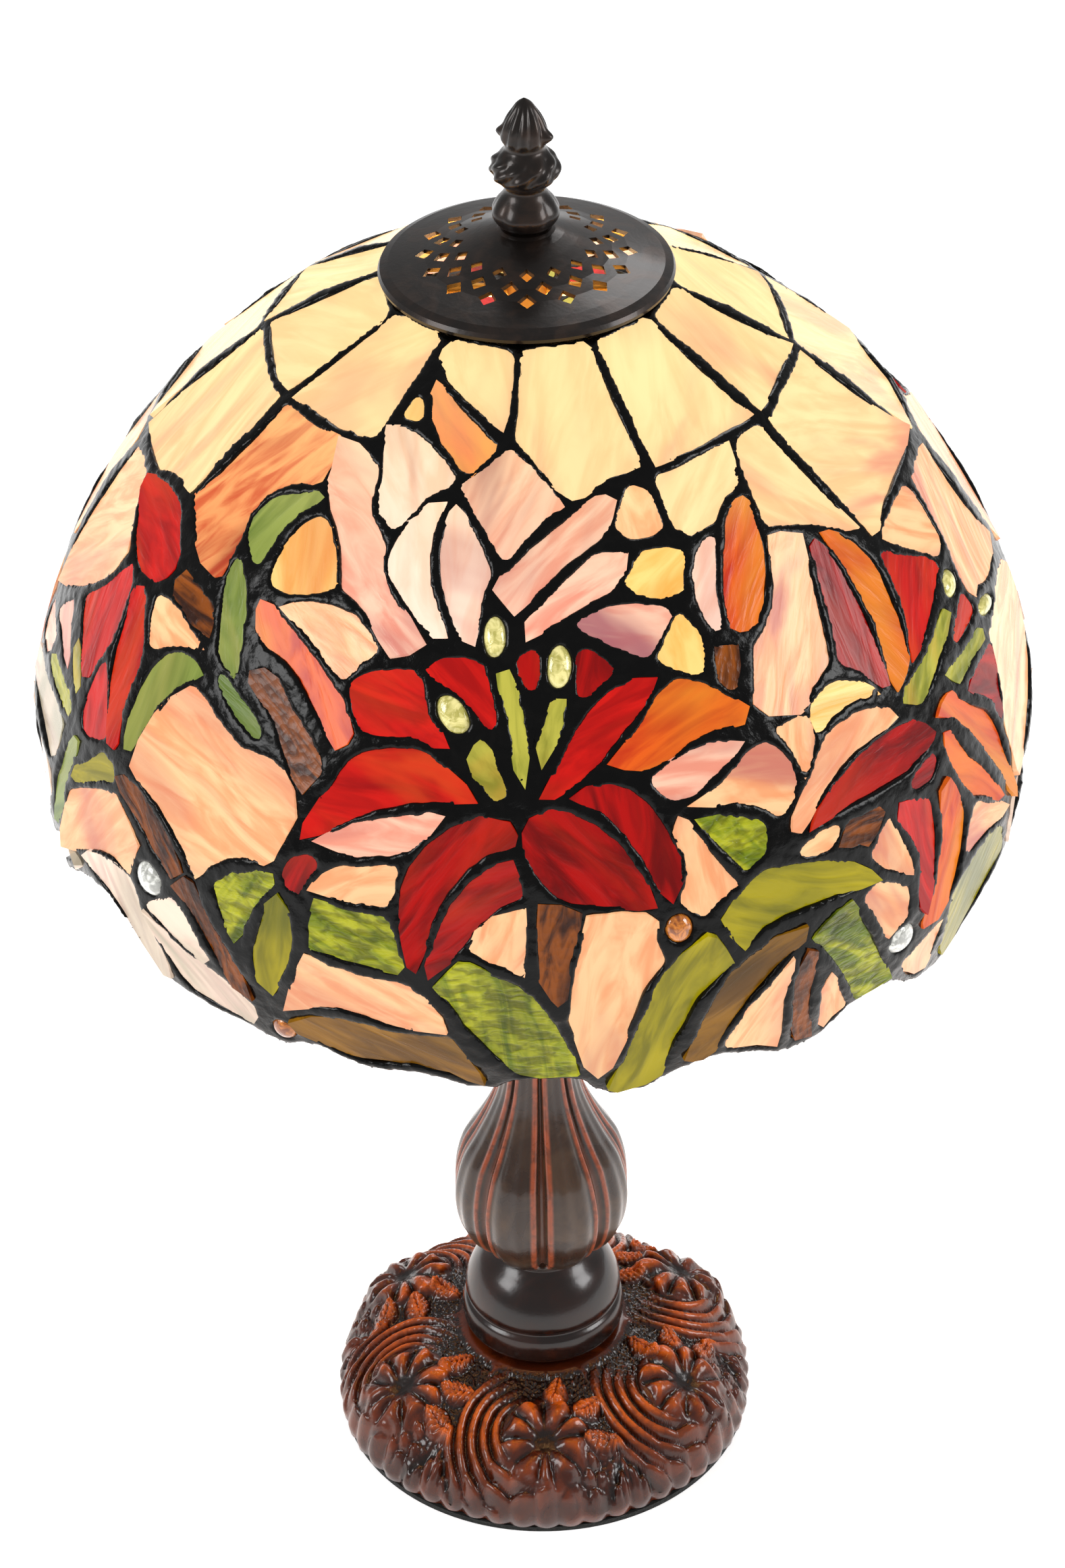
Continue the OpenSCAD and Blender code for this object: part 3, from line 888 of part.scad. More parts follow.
shade_came();
crown_glass();
field_glass();
pale_field_glass();
white_petal_glass();
pink_petal_glass();
red_petal_glass();
dark_red_petal_glass();
streaky_glass();
orange_petal_glass();
yellow_petal_glass();
flame_bud_glass();
leaf_glass();
rippled_leaf_glass();
brown_leaf_glass();
calyx_glass();
bark_glass();
filament_glass();
anther_cabochons();
clear_gems();
coloured_gems();
cap_ring();
shade_cap();
finial();
finial_insert();
harp();
harp_head();
harp_washer();
ferrule_left();
ferrule_right();
harp_saddle();
saddle_nut();
socket_cap();
socket_shell();
socket_insulator();
socket_liner();
screw_shell();
centre_contact();
bulb_glass();
bulb_base();
bulb_stem();
check_ring();
neck_tube();
vase_stem();
collar();
base_casting();
lamp_pipe();
base_washer();
base_nut();
cord_bushing();
felt_pad();
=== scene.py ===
"""Looks for a stained glass table lamp: leaded dome, pierced cap, finial, vase stem and cast base."""

import math
import random

import bmesh
import bpy
from bpy.props import FloatProperty, FloatVectorProperty, PointerProperty
from mathutils import Matrix, Vector, noise


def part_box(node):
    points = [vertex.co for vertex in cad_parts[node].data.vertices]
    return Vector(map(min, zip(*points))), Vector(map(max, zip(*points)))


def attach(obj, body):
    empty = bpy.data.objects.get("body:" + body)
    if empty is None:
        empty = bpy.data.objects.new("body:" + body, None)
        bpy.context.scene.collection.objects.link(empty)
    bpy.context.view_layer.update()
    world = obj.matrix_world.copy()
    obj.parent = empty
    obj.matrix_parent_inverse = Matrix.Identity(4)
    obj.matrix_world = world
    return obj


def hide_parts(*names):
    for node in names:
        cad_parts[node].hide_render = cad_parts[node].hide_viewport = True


bl_info = {
    "name": "Stained glass table lamp",
    "version": (1, 0, 0),
    "blender": (4, 5, 0),
    "location": "View3D > Sidebar > Lamp",
    "description": "Builds the looks of a leaded glass table lamp round its measured frame",
    "category": "Object",
}

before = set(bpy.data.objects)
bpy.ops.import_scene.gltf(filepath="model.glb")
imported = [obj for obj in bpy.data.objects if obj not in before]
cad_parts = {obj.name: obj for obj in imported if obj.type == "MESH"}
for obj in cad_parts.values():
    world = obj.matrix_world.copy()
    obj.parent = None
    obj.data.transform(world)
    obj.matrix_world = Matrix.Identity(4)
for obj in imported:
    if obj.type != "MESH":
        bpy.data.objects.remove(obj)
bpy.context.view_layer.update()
MM = 0.001
SHADE_MIDDLE = 0.29
TURN = 2 * math.pi


def srgb(red, green, blue):
    """A screen colour, 0 to 255, as the linear colour that a shader takes."""
    def linear(level):
        level = level / 255
        return level / 12.92 if level <= 0.04045 else ((level + 0.055) / 1.055) ** 2.4
    return (linear(red), linear(green), linear(blue), 1.0)


# One row for each kind of sheet glass: its node, its slot, the setting that holds its paler
# colour, the deeper colour of its streaks, a blush, how much blush, and how broad the streaks are
GLASS_SHEETS = [
    ("crown_glass", "cream_glass", "crown", (248, 192, 136), (234, 146, 120), 0.42, 0.8),
    ("field_glass", "peach_glass", "field", (238, 158, 108), (208, 122, 106), 0.44, 0.6),
    # Painted shade: the pale panes near the rim are background glass made paler and greyer, as panes
    # that the bulb lights less.
    ("pale_field_glass", "pale_glass", "skirt", (206, 176, 160), (168, 164, 138), 0.45, 0.8),
    ("white_petal_glass", "white_glass", "white_petal", (247, 196, 168), (200, 124, 122), 0.30, 0.7),
    ("pink_petal_glass", "pink_glass", "pink_petal", (230, 146, 122), (170, 98, 108), 0.42, 0.7),
    ("red_petal_glass", "red_glass", "red_petal", (154, 6, 5), (226, 74, 26), 0.34, 0.7),
    ("dark_red_petal_glass", "dark_red_glass", "dark_petal", (104, 1, 2), (206, 52, 20), 0.28, 0.7),
    ("streaky_glass", "streaky_glass", "streaky", (204, 82, 44), (138, 38, 26), 0.50, 0.5),
    ("orange_petal_glass", "orange_glass", "orange_petal", (186, 44, 14), (238, 150, 42), 0.38, 0.7),
    ("yellow_petal_glass", "yellow_glass", "yellow_petal", (243, 174, 80), (236, 132, 58), 0.32, 0.8),
    ("flame_bud_glass", "orange_glass", "flame", (194, 24, 22), (250, 160, 40), 0.40, 0.6),
    ("leaf_glass", "leaf_glass", "leaf", (120, 112, 4), (84, 90, 8), 0.42, 0.7),
    ("rippled_leaf_glass", "rippled_glass", "rippled_leaf", (104, 120, 14), (58, 76, 8), 0.45, 0.6),
    ("brown_leaf_glass", "brown_glass", "brown_leaf", (94, 60, 6), (64, 46, 6), 0.42, 0.7),
    ("calyx_glass", "calyx_glass", "calyx", (90, 110, 38), (160, 160, 80), 0.40, 0.8),
    ("bark_glass", "bark_glass", "bark", (48, 19, 5), (24, 8, 4), 0.50, 0.35),
    ("filament_glass", "filament_glass", "filament", (120, 124, 38), (214, 160, 60), 0.40, 0.6),
]
# Round glass pieces: node, slot, pale and deep colours, and how far they stand out of the shade
GEMS = [
    ("anther_cabochons", "amber_gem", (238, 226, 150), (176, 168, 84), 2.6),
    ("clear_gems", "clear_gem", (236, 236, 228), (150, 150, 144), 3.2),
    ("coloured_gems", "amber_gem", (206, 122, 40), (120, 58, 12), 3.2),
]


# ---------------------------------------------------------------- shader groups and materials
def tune(node, **values):
    """Sets a node's sockets by name, with an underscore for each space."""
    for label, value in values.items():
        node.inputs[label.replace("_", " ")].default_value = value


def group(name, inputs, outputs):
    tree = bpy.data.node_groups.new(name, "ShaderNodeTree")
    for label, kind, default in inputs:
        socket = tree.interface.new_socket(name=label, in_out="INPUT", socket_type=kind)
        socket.default_value = default
    for label, kind in outputs:
        tree.interface.new_socket(name=label, in_out="OUTPUT", socket_type=kind)
    return tree, tree.nodes.new("NodeGroupInput"), tree.nodes.new("NodeGroupOutput")


def object_noise(tree, scale, detail, stretch=(1, 1, 1), distortion=0.0, scale_from=None,
                 coordinates="Object"):
    place = tree.nodes.new("ShaderNodeTexCoord")
    mapping = tree.nodes.new("ShaderNodeMapping")
    mapping.inputs["Scale"].default_value = stretch
    tree.links.new(place.outputs[coordinates], mapping.inputs["Vector"])
    grain = tree.nodes.new("ShaderNodeTexNoise")
    tune(grain, Scale=scale, Detail=detail, Distortion=distortion)
    tree.links.new(mapping.outputs["Vector"], grain.inputs["Vector"])
    if scale_from is not None:
        tree.links.new(scale_from, grain.inputs["Scale"])
    return grain.outputs["Fac"]


def spread(tree, value, low, high, to_low=0.0, to_high=1.0):
    ranged = tree.nodes.new("ShaderNodeMapRange")
    ranged.interpolation_type = "SMOOTHSTEP"
    tree.links.new(value, ranged.inputs["Value"])
    tune(ranged, From_Min=low, From_Max=high, To_Min=to_low, To_Max=to_high)
    return ranged.outputs["Result"]


def sum_of(tree, first, second, operation="ADD"):
    node = tree.nodes.new("ShaderNodeMath")
    node.operation = operation
    for socket, value in zip(node.inputs, (first, second)):
        if isinstance(value, (int, float)):
            socket.default_value = value
        else:
            tree.links.new(value, socket)
    return node.outputs["Value"]


def blend_colours(tree, factor, first, second, kind="MIX"):
    """A Mix node for colours: socket 0 is its factor, 6 and 7 its colours, and 2 its result."""
    mix = tree.nodes.new("ShaderNodeMix")
    mix.data_type = "RGBA"
    mix.blend_type = kind
    if isinstance(factor, (int, float)):
        mix.inputs[0].default_value = factor
    else:
        tree.links.new(factor, mix.inputs[0])
    for socket, value in ((mix.inputs[6], first), (mix.inputs[7], second)):
        if isinstance(value, tuple):
            socket.default_value = value
        else:
            tree.links.new(value, socket)
    return mix.outputs[2]


def grey(tree, value):
    """A colour with the same value on each channel."""
    joined = tree.nodes.new("ShaderNodeCombineColor")
    for channel in ("Red", "Green", "Blue"):
        tree.links.new(value, joined.inputs[channel])
    return joined.outputs["Color"]


def make_sheet_group():
    """Colours of hand rolled opal glass: long streaks, a blush that drifts, and a painted glow of the
    bulb's light that dims towards the rim.
    """
    tree, given, result = group(
        "opal sheet",
        [("Pale", "NodeSocketColor", (1, 1, 1, 1)), ("Deep", "NodeSocketColor", (0.5, 0.5, 0.5, 1)),
         ("Blush", "NodeSocketColor", (1, 0.5, 0.5, 1)), ("Blush Share", "NodeSocketFloat", 0.3),
         ("Streak Scale", "NodeSocketFloat", 40.0)],
        [("Colour", "NodeSocketColor"), ("Glow", "NodeSocketColor"), ("Height", "NodeSocketFloat")],
    )
    links = tree.links
    streaks = object_noise(tree, 40, 4, (0.45, 1.8, 1), 1.3, given.outputs["Streak Scale"], "UV")
    drift = object_noise(tree, 14, 3, (0.6, 1.5, 1), 1.8, None, "UV")
    fine = object_noise(tree, 150, 3, (0.3, 1.7, 1), 0.7, None, "UV")
    body = blend_colours(tree, spread(tree, streaks, 0.34, 0.68),
                         given.outputs["Pale"], given.outputs["Deep"])
    share = sum_of(tree, spread(tree, drift, 0.46, 0.68), given.outputs["Blush Share"], "MULTIPLY")
    pane = tree.nodes.new("ShaderNodeAttribute")
    pane.attribute_name = "tone"
    tone = pane.outputs["Fac"]
    share = sum_of(tree, share, spread(tree, tone, 1, 0, 0.9, 2.2), "MULTIPLY")
    coloured = blend_colours(tree, share, body, given.outputs["Blush"])
    wisps = blend_colours(tree, spread(tree, fine, 0.5, 0.78, 0, 0.18), coloured,
                          given.outputs["Pale"])
    place = tree.nodes.new("ShaderNodeTexCoord")
    split = tree.nodes.new("ShaderNodeSeparateXYZ")
    links.new(place.outputs["Object"], split.inputs["Vector"])
    height = split.outputs["Z"]
    crown_z = 0.39
    cap_z = 0.445
    wisps = blend_colours(tree, spread(tree, height, crown_z, cap_z, 0, 0.4), wisps,
                          srgb(255, 232, 158))
    # Painted light: the glow dims from near the bulb down to the rim, and a little in slow patches.
    rim_z = 0.19
    bright_z = 0.42
    glow = spread(tree, height, rim_z, bright_z, 0.8, 0.98)
    patch = spread(tree, drift, 0.3, 0.7, 1.04, 0.86)
    level = sum_of(tree, glow, patch, "MULTIPLY")
    level = sum_of(tree, level, spread(tree, tone, 0, 1, 0.9, 1.04), "MULTIPLY")
    unlit = blend_colours(tree, 1.0, wisps, (0.3, 0.3, 0.3, 1), "MULTIPLY")
    links.new(unlit, result.inputs["Colour"])
    links.new(blend_colours(tree, 1.0, wisps, grey(tree, level), "MULTIPLY"),
              result.inputs["Glow"])
    links.new(sum_of(tree, streaks, sum_of(tree, fine, 0.4, "MULTIPLY")), result.inputs["Height"])


def make_wear_group():
    """Tarnish and handling marks: two colours that mix in patches, and an uneven gloss."""
    tree, given, result = group(
        "patina",
        [("Main", "NodeSocketColor", (0.5, 0.5, 0.5, 1)), ("Worn", "NodeSocketColor", (1, 1, 1, 1)),
         ("Share", "NodeSocketFloat", 0.4), ("Gloss Low", "NodeSocketFloat", 0.2),
         ("Gloss High", "NodeSocketFloat", 0.45), ("Patch Scale", "NodeSocketFloat", 60.0)],
        [("Colour", "NodeSocketColor"), ("Roughness", "NodeSocketFloat"),
         ("Height", "NodeSocketFloat")],
    )
    patches = object_noise(tree, 60, 6, (1, 1, 1), 0.8, given.outputs["Patch Scale"])
    fine = object_noise(tree, 900, 3)
    share = sum_of(tree, spread(tree, patches, 0.42, 0.68), given.outputs["Share"], "MULTIPLY")
    tree.links.new(blend_colours(tree, share, given.outputs["Main"], given.outputs["Worn"]),
                   result.inputs["Colour"])
    ramp = tree.nodes.new("ShaderNodeMapRange")
    tree.links.new(patches, ramp.inputs["Value"])
    tree.links.new(given.outputs["Gloss Low"], ramp.inputs["To Min"])
    tree.links.new(given.outputs["Gloss High"], ramp.inputs["To Max"])
    tree.links.new(ramp.outputs["Result"], result.inputs["Roughness"])
    tree.links.new(sum_of(tree, patches, sum_of(tree, fine, 0.3, "MULTIPLY")),
                   result.inputs["Height"])


def blank_material(name):
    material = bpy.data.materials.new(name)
    material.use_nodes = True
    tree = material.node_tree
    return material, tree, tree.nodes["Principled BSDF"]


def add_bump(tree, shader, height, distance, strength=1.0):
    bump = tree.nodes.new("ShaderNodeBump")
    tune(bump, Strength=strength, Distance=distance)
    tree.links.new(height, bump.inputs["Height"])
    tree.links.new(bump.outputs["Normal"], shader.inputs["Normal"])


def placed_group(tree, name, **values):
    node = tree.nodes.new("ShaderNodeGroup")
    node.node_tree = bpy.data.node_groups[name]
    tune(node, **values)
    return node


def worn_material(name, main, worn, share, gloss, metallic=0.0, coat=0.0, patch=60.0,
                  bump=0.0001, shine=0.5):
    material, tree, shader = blank_material(name)
    wear = placed_group(tree, "patina", Main=tuple(main), Worn=worn, Share=share,
                        Gloss_Low=gloss[0], Gloss_High=gloss[1], Patch_Scale=patch)
    tree.links.new(wear.outputs["Colour"], shader.inputs["Base Color"])
    tree.links.new(wear.outputs["Roughness"], shader.inputs["Roughness"])
    tune(shader, Metallic=metallic, Specular_IOR_Level=shine, Coat_Weight=coat, Coat_Roughness=0.12)
    add_bump(tree, shader, wear.outputs["Height"], bump)
    return material


def sheet_material(name, pale, deep, blush, blush_share, streak):
    """Opal glass lit from inside; some kinds are rippled or hammered as well."""
    settings = bpy.context.scene.lamp
    material, tree, shader = blank_material(name)
    sheet = placed_group(tree, "opal sheet", Pale=tuple(pale), Deep=srgb(*deep),
                         Blush=srgb(*blush), Blush_Share=blush_share,
                         Streak_Scale=48.0 / streak)
    tree.links.new(sheet.outputs["Colour"], shader.inputs["Base Color"])
    tree.links.new(sheet.outputs["Glow"], shader.inputs["Emission Color"])
    tune(shader, Emission_Strength=settings.glow, Roughness=0.26, Specular_IOR_Level=0.22,
         Coat_Weight=0.08, Coat_Roughness=0.08)
    height = sheet.outputs["Height"]
    if name == "rippled_leaf_glass":
        ripple = object_noise(tree, 170, 2, (1, 1, 2.6), 0.5)
        height = sum_of(tree, height, sum_of(tree, ripple, 3.0, "MULTIPLY"))
        dark = spread(tree, ripple, 0.35, 0.62, 0.45, 1.0)
        for label, target in (("Colour", "Base Color"), ("Glow", "Emission Color")):
            tree.links.new(blend_colours(tree, 1.0, sheet.outputs[label], grey(tree, dark),
                                         "MULTIPLY"), shader.inputs[target])
    if name in ("bark_glass", "filament_glass"):
        cells = tree.nodes.new("ShaderNodeTexVoronoi")
        cells.inputs["Scale"].default_value = 420.0 if name == "bark_glass" else 300.0
        place = tree.nodes.new("ShaderNodeTexCoord")
        tree.links.new(place.outputs["Object"], cells.inputs["Vector"])
        height = sum_of(tree, height, sum_of(tree, cells.outputs["Distance"], 0.5, "MULTIPLY"))
    add_bump(tree, shader, height, 0.0004)
    return material


def gem_material(name, pale, deep):
    """Pressed glass with a swirl in it."""
    material, tree, shader = blank_material(name)
    swirl = object_noise(tree, 330, 3, (1, 1, 1), 1.2)
    colour = blend_colours(tree, spread(tree, swirl, 0.35, 0.65), srgb(*pale), srgb(*deep))
    tree.links.new(colour, shader.inputs["Base Color"])
    tree.links.new(colour, shader.inputs["Emission Color"])
    # Painted light: the jewels glow as if lit by the bulb behind them.
    gem_glow = 0.35
    tune(shader, Emission_Strength=gem_glow, Roughness=0.06, Coat_Weight=1.0)
    add_bump(tree, shader, swirl, 0.0005)
    return material


# ---------------------------------------------------------------- mesh helpers
def copy_of(node):
    """A CAD node's mesh as a bmesh with its loose triangles joined."""
    bm = bmesh.new()
    bm.from_mesh(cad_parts[node].data)
    bmesh.ops.remove_doubles(bm, verts=bm.verts, dist=0.02 * MM)
    return bm


def add_piece(name, bm, material, body, replaced=(), smooth=True):
    """A finished object from a bmesh, riding on its body and standing for the nodes it replaces."""
    mesh = bpy.data.meshes.new(name)
    for face in bm.faces:
        face.smooth = smooth
    bm.to_mesh(mesh)
    bm.free()
    piece = bpy.data.objects.new(name, mesh)
    bpy.context.scene.collection.objects.link(piece)
    mesh.materials.append(material)
    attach(piece, body)
    if replaced:
        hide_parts(*replaced)
    return piece


def dress(node, material):
    """Gives a CAD node a better material in every slot."""
    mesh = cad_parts[node].data
    for index in range(len(mesh.materials)):
        mesh.materials[index] = material


def curve_through(points, steps):
    """Points along a smooth curve (Catmull-Rom) through a few given ones."""
    ends = [points[0]] + list(points) + [points[-1]]
    result = []
    for a, b, c, d in zip(ends, ends[1:], ends[2:], ends[3:]):
        for step in range(steps):
            t = step / steps
            result.append(tuple(
                0.5 * (2 * b[k] + (c[k] - a[k]) * t + (2 * a[k] - 5 * b[k] + 4 * c[k] - d[k]) * t * t
                       + (3 * b[k] - a[k] - 3 * c[k] + d[k]) * t ** 3)
                for k in (0, 1)))
    result.append(tuple(points[-1]))
    return result


def turned(outline, steps, closed=False):
    """A turned solid: an outline of (radius, height) in millimetres spun about the lamp's axis."""
    bm = bmesh.new()
    verts = [bm.verts.new((radius * MM, 0, height * MM)) for radius, height in outline]
    pairs = list(zip(verts, verts[1:]))
    if closed:
        pairs.append((verts[-1], verts[0]))
    edges = [bm.edges.new(pair) for pair in pairs]
    bmesh.ops.spin(bm, geom=verts + edges, cent=(0, 0, 0), axis=(0, 0, 1), angle=TURN,
                   steps=steps, use_merge=True)
    bmesh.ops.remove_doubles(bm, verts=bm.verts, dist=0.005 * MM)
    bmesh.ops.recalc_face_normals(bm, faces=bm.faces)
    return bm


def islands(bm):
    """The separate shells of a mesh, each as a list of faces."""
    seen = set()
    result = []
    for start in bm.faces:
        if start in seen:
            continue
        seen.add(start)
        shell = [start]
        for face in shell:
            for edge in face.edges:
                for near in edge.link_faces:
                    if near not in seen:
                        seen.add(near)
                        shell.append(near)
        result.append(shell)
    return result


def pane_normal(shell):
    """The way a flat pane faces, out of the shade: that of its largest faces."""
    sums = {}
    for face in shell:
        key = tuple(round(part, 2) for part in face.normal)
        total = sums.setdefault(key, [0.0, Vector()])
        total[0] += face.calc_area()
        total[1] += face.normal * face.calc_area()
    best = max(sums.values(), key=lambda total: total[0])[1].normalized()
    centre = sum((face.calc_center_median() for face in shell), Vector()) / len(shell)
    outwards = centre - Vector((0, 0, SHADE_MIDDLE))
    return best if best.dot(outwards) > 0 else -best


def remeshed(bm, size):
    """The same solid rebuilt on an even grid, so that it can be rounded off."""
    mesh = bpy.data.meshes.new("scratch")
    bm.to_mesh(mesh)
    bm.free()
    scratch = bpy.data.objects.new("scratch", mesh)
    bpy.context.scene.collection.objects.link(scratch)
    grid = scratch.modifiers.new("grid", "REMESH")
    grid.mode = "VOXEL"
    grid.voxel_size = size
    evaluated = scratch.evaluated_get(bpy.context.evaluated_depsgraph_get())
    result = bmesh.new()
    result.from_mesh(evaluated.to_mesh())
    evaluated.to_mesh_clear()
    bpy.data.objects.remove(scratch)
    bpy.data.meshes.remove(mesh)
    return result


def add_attribute(piece, name, values):
    layer = piece.data.attributes.new(name, "FLOAT", "POINT")
    layer.data.foreach_set("value", values)


def smoothstep(low, high, value):
    t = min(1.0, max(0.0, (value - low) / (high - low)))
    return t * t * (3 - 2 * t)


# ---------------------------------------------------------------- shade
def build_came():
    """Lead lines as rounded, slightly lumpy beads of solder, cut into four quarters."""
    settings = bpy.context.scene.lamp
    material = worn_material("black patina", settings.solder, srgb(14, 13, 12), 0.5, (0.12, 0.24),
                             coat=0.1, patch=190.0, bump=0.0003, shine=0.14)
    overlap = 2.5 * MM
    smoothings = 3
    names = ("right_back", "left_back", "left_front", "right_front")
    for name, (side_x, side_y) in zip(names, ((1, 1), (-1, 1), (-1, -1), (1, -1))):
        bm = copy_of("shade_came")
        for normal in (Vector((side_x, 0, 0)), Vector((0, side_y, 0))):
            cut = bmesh.ops.bisect_plane(bm, geom=bm.verts[:] + bm.edges[:] + bm.faces[:],
                                         plane_co=-normal * overlap, plane_no=normal,
                                         clear_inner=True, dist=1e-6)
            rim = [part for part in cut["geom_cut"] if isinstance(part, bmesh.types.BMEdge)]
            bmesh.ops.holes_fill(bm, edges=rim, sides=0)
        bm = remeshed(bm, settings.solder_grid)
        for _ in range(smoothings):
            bmesh.ops.smooth_vert(bm, verts=bm.verts, factor=0.5, use_axis_x=True,
                                  use_axis_y=True, use_axis_z=True)
        bm.normal_update()
        for vert in bm.verts:
            lump = noise.noise(vert.co * 260) + 0.5 * noise.noise(vert.co * 620)
            vert.co += vert.normal * (settings.solder_fill + lump * settings.solder_lumps)
        add_piece("solder_" + name, bm, material, "shade", ["shade_came"])


def build_sheets():
    """Each pane, its edge carried a little under the lead so that no light leaks past.

    The pane's own map runs along its longest way, as the streaks of a cut sheet do.
    """
    settings = bpy.context.scene.lamp
    tuck = 1.2 * MM
    rim_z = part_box("shade_came")[0][2] + 16 * MM
    draw = random.Random(7)
    for node, slot, setting, deep, blush, share, streak in GLASS_SHEETS:
        bm = copy_of(node)
        bm.normal_update()
        sheet_map = bm.loops.layers.uv.new("sheet")
        tone_layer = bm.verts.layers.float.new("tone")
        for shell in islands(bm):
            facing = pane_normal(shell)
            sides = [face for face in shell if abs(face.normal.dot(facing)) < 0.5]
            pushes = {}
            for face in sides:
                for vert in face.verts:
                    pushes.setdefault(vert, []).append(face.normal.copy())
            for vert, normals in pushes.items():
                push = sum(normals, Vector()).normalized()
                free_edge = vert.co.z < rim_z and push.z < -0.5
                vert.co += push * (-0.5 * tuck if free_edge else tuck)
            corners = [face.calc_center_median() for face in shell]
            centre = sum(corners, Vector()) / len(corners)
            long_way = max((corner - centre for corner in corners), key=lambda arm: arm.length)
            long_way = (long_way - facing * long_way.dot(facing)).normalized()
            lean = Matrix.Rotation(draw.uniform(-0.35, 0.35), 3, facing)
            long_way = lean @ long_way
            across = facing.cross(long_way)
            shift = (draw.uniform(0, 9), draw.uniform(0, 9))
            tone = draw.random()
            for face in shell:
                for loop in face.loops:
                    loop.vert[tone_layer] = tone
                    arm = loop.vert.co - centre
                    loop[sheet_map].uv = (arm.dot(long_way) + shift[0],
                                          arm.dot(across) + shift[1])
        material = sheet_material(node, getattr(settings, setting), deep, blush, share, streak)
        add_piece(node.replace("_glass", "_panes"), bm, material, "shade", [node],
                  smooth=False)


def build_gems():
    """Domed cabochons and jewels, one for each flat blank in the frame."""
    for node, slot, pale, deep, rise in GEMS:
        blanks = copy_of(node)
        blanks.normal_update()
        bm = bmesh.new()
        for shell in islands(blanks):
            facing = pane_normal(shell)
            corners = dict.fromkeys(vert for face in shell for vert in face.verts)
            centre = sum((vert.co for vert in corners), Vector()) / len(corners)
            up = (Vector((0, 0, 1)) - facing * facing.z).normalized()
            flat = [(vert.co - centre) - facing * (vert.co - centre).dot(facing)
                    for vert in corners]
            long_way = max(flat, key=lambda arm: arm.length).normalized() if flat else up
            across = facing.cross(long_way)
            half_long = max(abs(arm.dot(long_way)) for arm in flat) + 0.5 * MM
            half_wide = max(abs(arm.dot(across)) for arm in flat) + 0.5 * MM
            place = Matrix((
                (long_way.x, across.x, facing.x, centre.x),
                (long_way.y, across.y, facing.y, centre.y),
                (long_way.z, across.z, facing.z, centre.z),
                (0, 0, 0, 1)))
            size = Matrix.Diagonal((half_long, half_wide, rise * MM, 1))
            bmesh.ops.create_uvsphere(bm, u_segments=28, v_segments=16, radius=1,
                                      matrix=place @ size)
        blanks.free()
        bmesh.ops.recalc_face_normals(bm, faces=bm.faces)
        add_piece(node + "_domed", bm, gem_material(node, pale, deep), "shade", [node])


# ---------------------------------------------------------------- metalwork
def build_finial():
    """Cast finial: a leafy bulb, a swirled middle and a fluted bud."""
    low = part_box("finial")[0][2] / MM
    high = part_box("finial")[1][2] / MM
    tall = high - low
    heights = [0, 0.04, 0.115, 0.19, 0.26, 0.31, 0.35, 0.40, 0.46, 0.52, 0.57, 0.61, 0.64, 0.68,
               0.73, 0.78, 0.84, 0.90, 0.96, 1.0]
    radii = [6.4, 8.6, 9.8, 8.6, 6.6, 6.0, 7.2, 9.2, 9.8, 9.0, 7.2, 6.0, 5.9, 6.3, 6.2, 5.9, 5.0,
             3.7, 2.2, 0.0]
    outline = curve_through(list(zip(radii, [low + tall * part for part in heights])), 5)
    bore_r = 4.7
    bore_top = low + 17.6
    bore = [(0.0, bore_top), (bore_r, bore_top), (bore_r, outline[0][1])]
    bm = turned(bore + outline, 96)
    for vert in bm.verts:
        radius = math.hypot(vert.co.x, vert.co.y)
        part = (vert.co.z / MM - low) / tall
        if radius < 4.9 * MM and part < 0.5:
            continue
        angle = math.atan2(vert.co.y, vert.co.x)
        leaf = smoothstep(0.3, 0.42, part) - smoothstep(0.52, 0.63, part)
        bud = smoothstep(0.64, 0.7, part) - smoothstep(0.86, 0.98, part)
        foot = smoothstep(0.03, 0.1, part) - smoothstep(0.18, 0.27, part)
        swirl = abs(math.sin(4 * angle + 5 * part)) - 0.5 + 0.5 * math.sin(9 * angle - 60 * part)
        flute = abs(math.sin(5 * angle - part * 4)) - 0.5
        petal = abs(math.sin(4 * angle)) - 0.6
        knob = math.exp(-((part - 0.72) / 0.04) ** 2) * max(0.0, math.cos(2 * angle + 0.6)) ** 4
        grow = 1 + 0.08 * leaf * swirl + 0.16 * bud * flute + 0.05 * foot * petal + 0.3 * knob
        vert.co.x *= grow
        vert.co.y *= grow
    bronze = bpy.data.materials["antique bronze"]
    add_piece("finial_cast", bm, bronze, "finial", ["finial"])


def build_metals():
    """Metals of the lamp, on the nodes that keep their measured shape."""
    settings = bpy.context.scene.lamp
    bronze = worn_material("antique bronze", settings.bronze, srgb(66, 48, 38), 0.5, (0.26, 0.42),
                           metallic=0.6, coat=0.25, patch=120.0, bump=0.00012)
    brass = worn_material("brass", settings.brass, srgb(150, 112, 52), 0.5, (0.2, 0.4), metallic=1.0)
    steel = worn_material("plated steel", srgb(168, 168, 170), srgb(120, 120, 124), 0.5,
                          (0.22, 0.42), metallic=1.0)
    copper = worn_material("contact copper", srgb(206, 140, 96), srgb(150, 92, 58), 0.4,
                           (0.2, 0.4), metallic=1.0)
    nickel = worn_material("lamp base metal", srgb(196, 196, 198), srgb(150, 150, 152), 0.4,
                           (0.2, 0.38), metallic=1.0)
    for metal, nodes in (
        (bronze, ("shade_cap", "ferrule_left", "ferrule_right", "neck_tube", "harp_saddle")),
        (brass, ("cap_ring", "finial_insert", "harp", "harp_head", "harp_washer", "saddle_nut",
                 "socket_cap", "socket_shell", "check_ring", "lamp_pipe", "base_nut")),
        (steel, ("base_washer",)),
        (copper, ("screw_shell", "centre_contact")),
        (nickel, ("bulb_base",)),
    ):
        for node in nodes:
            dress(node, metal)


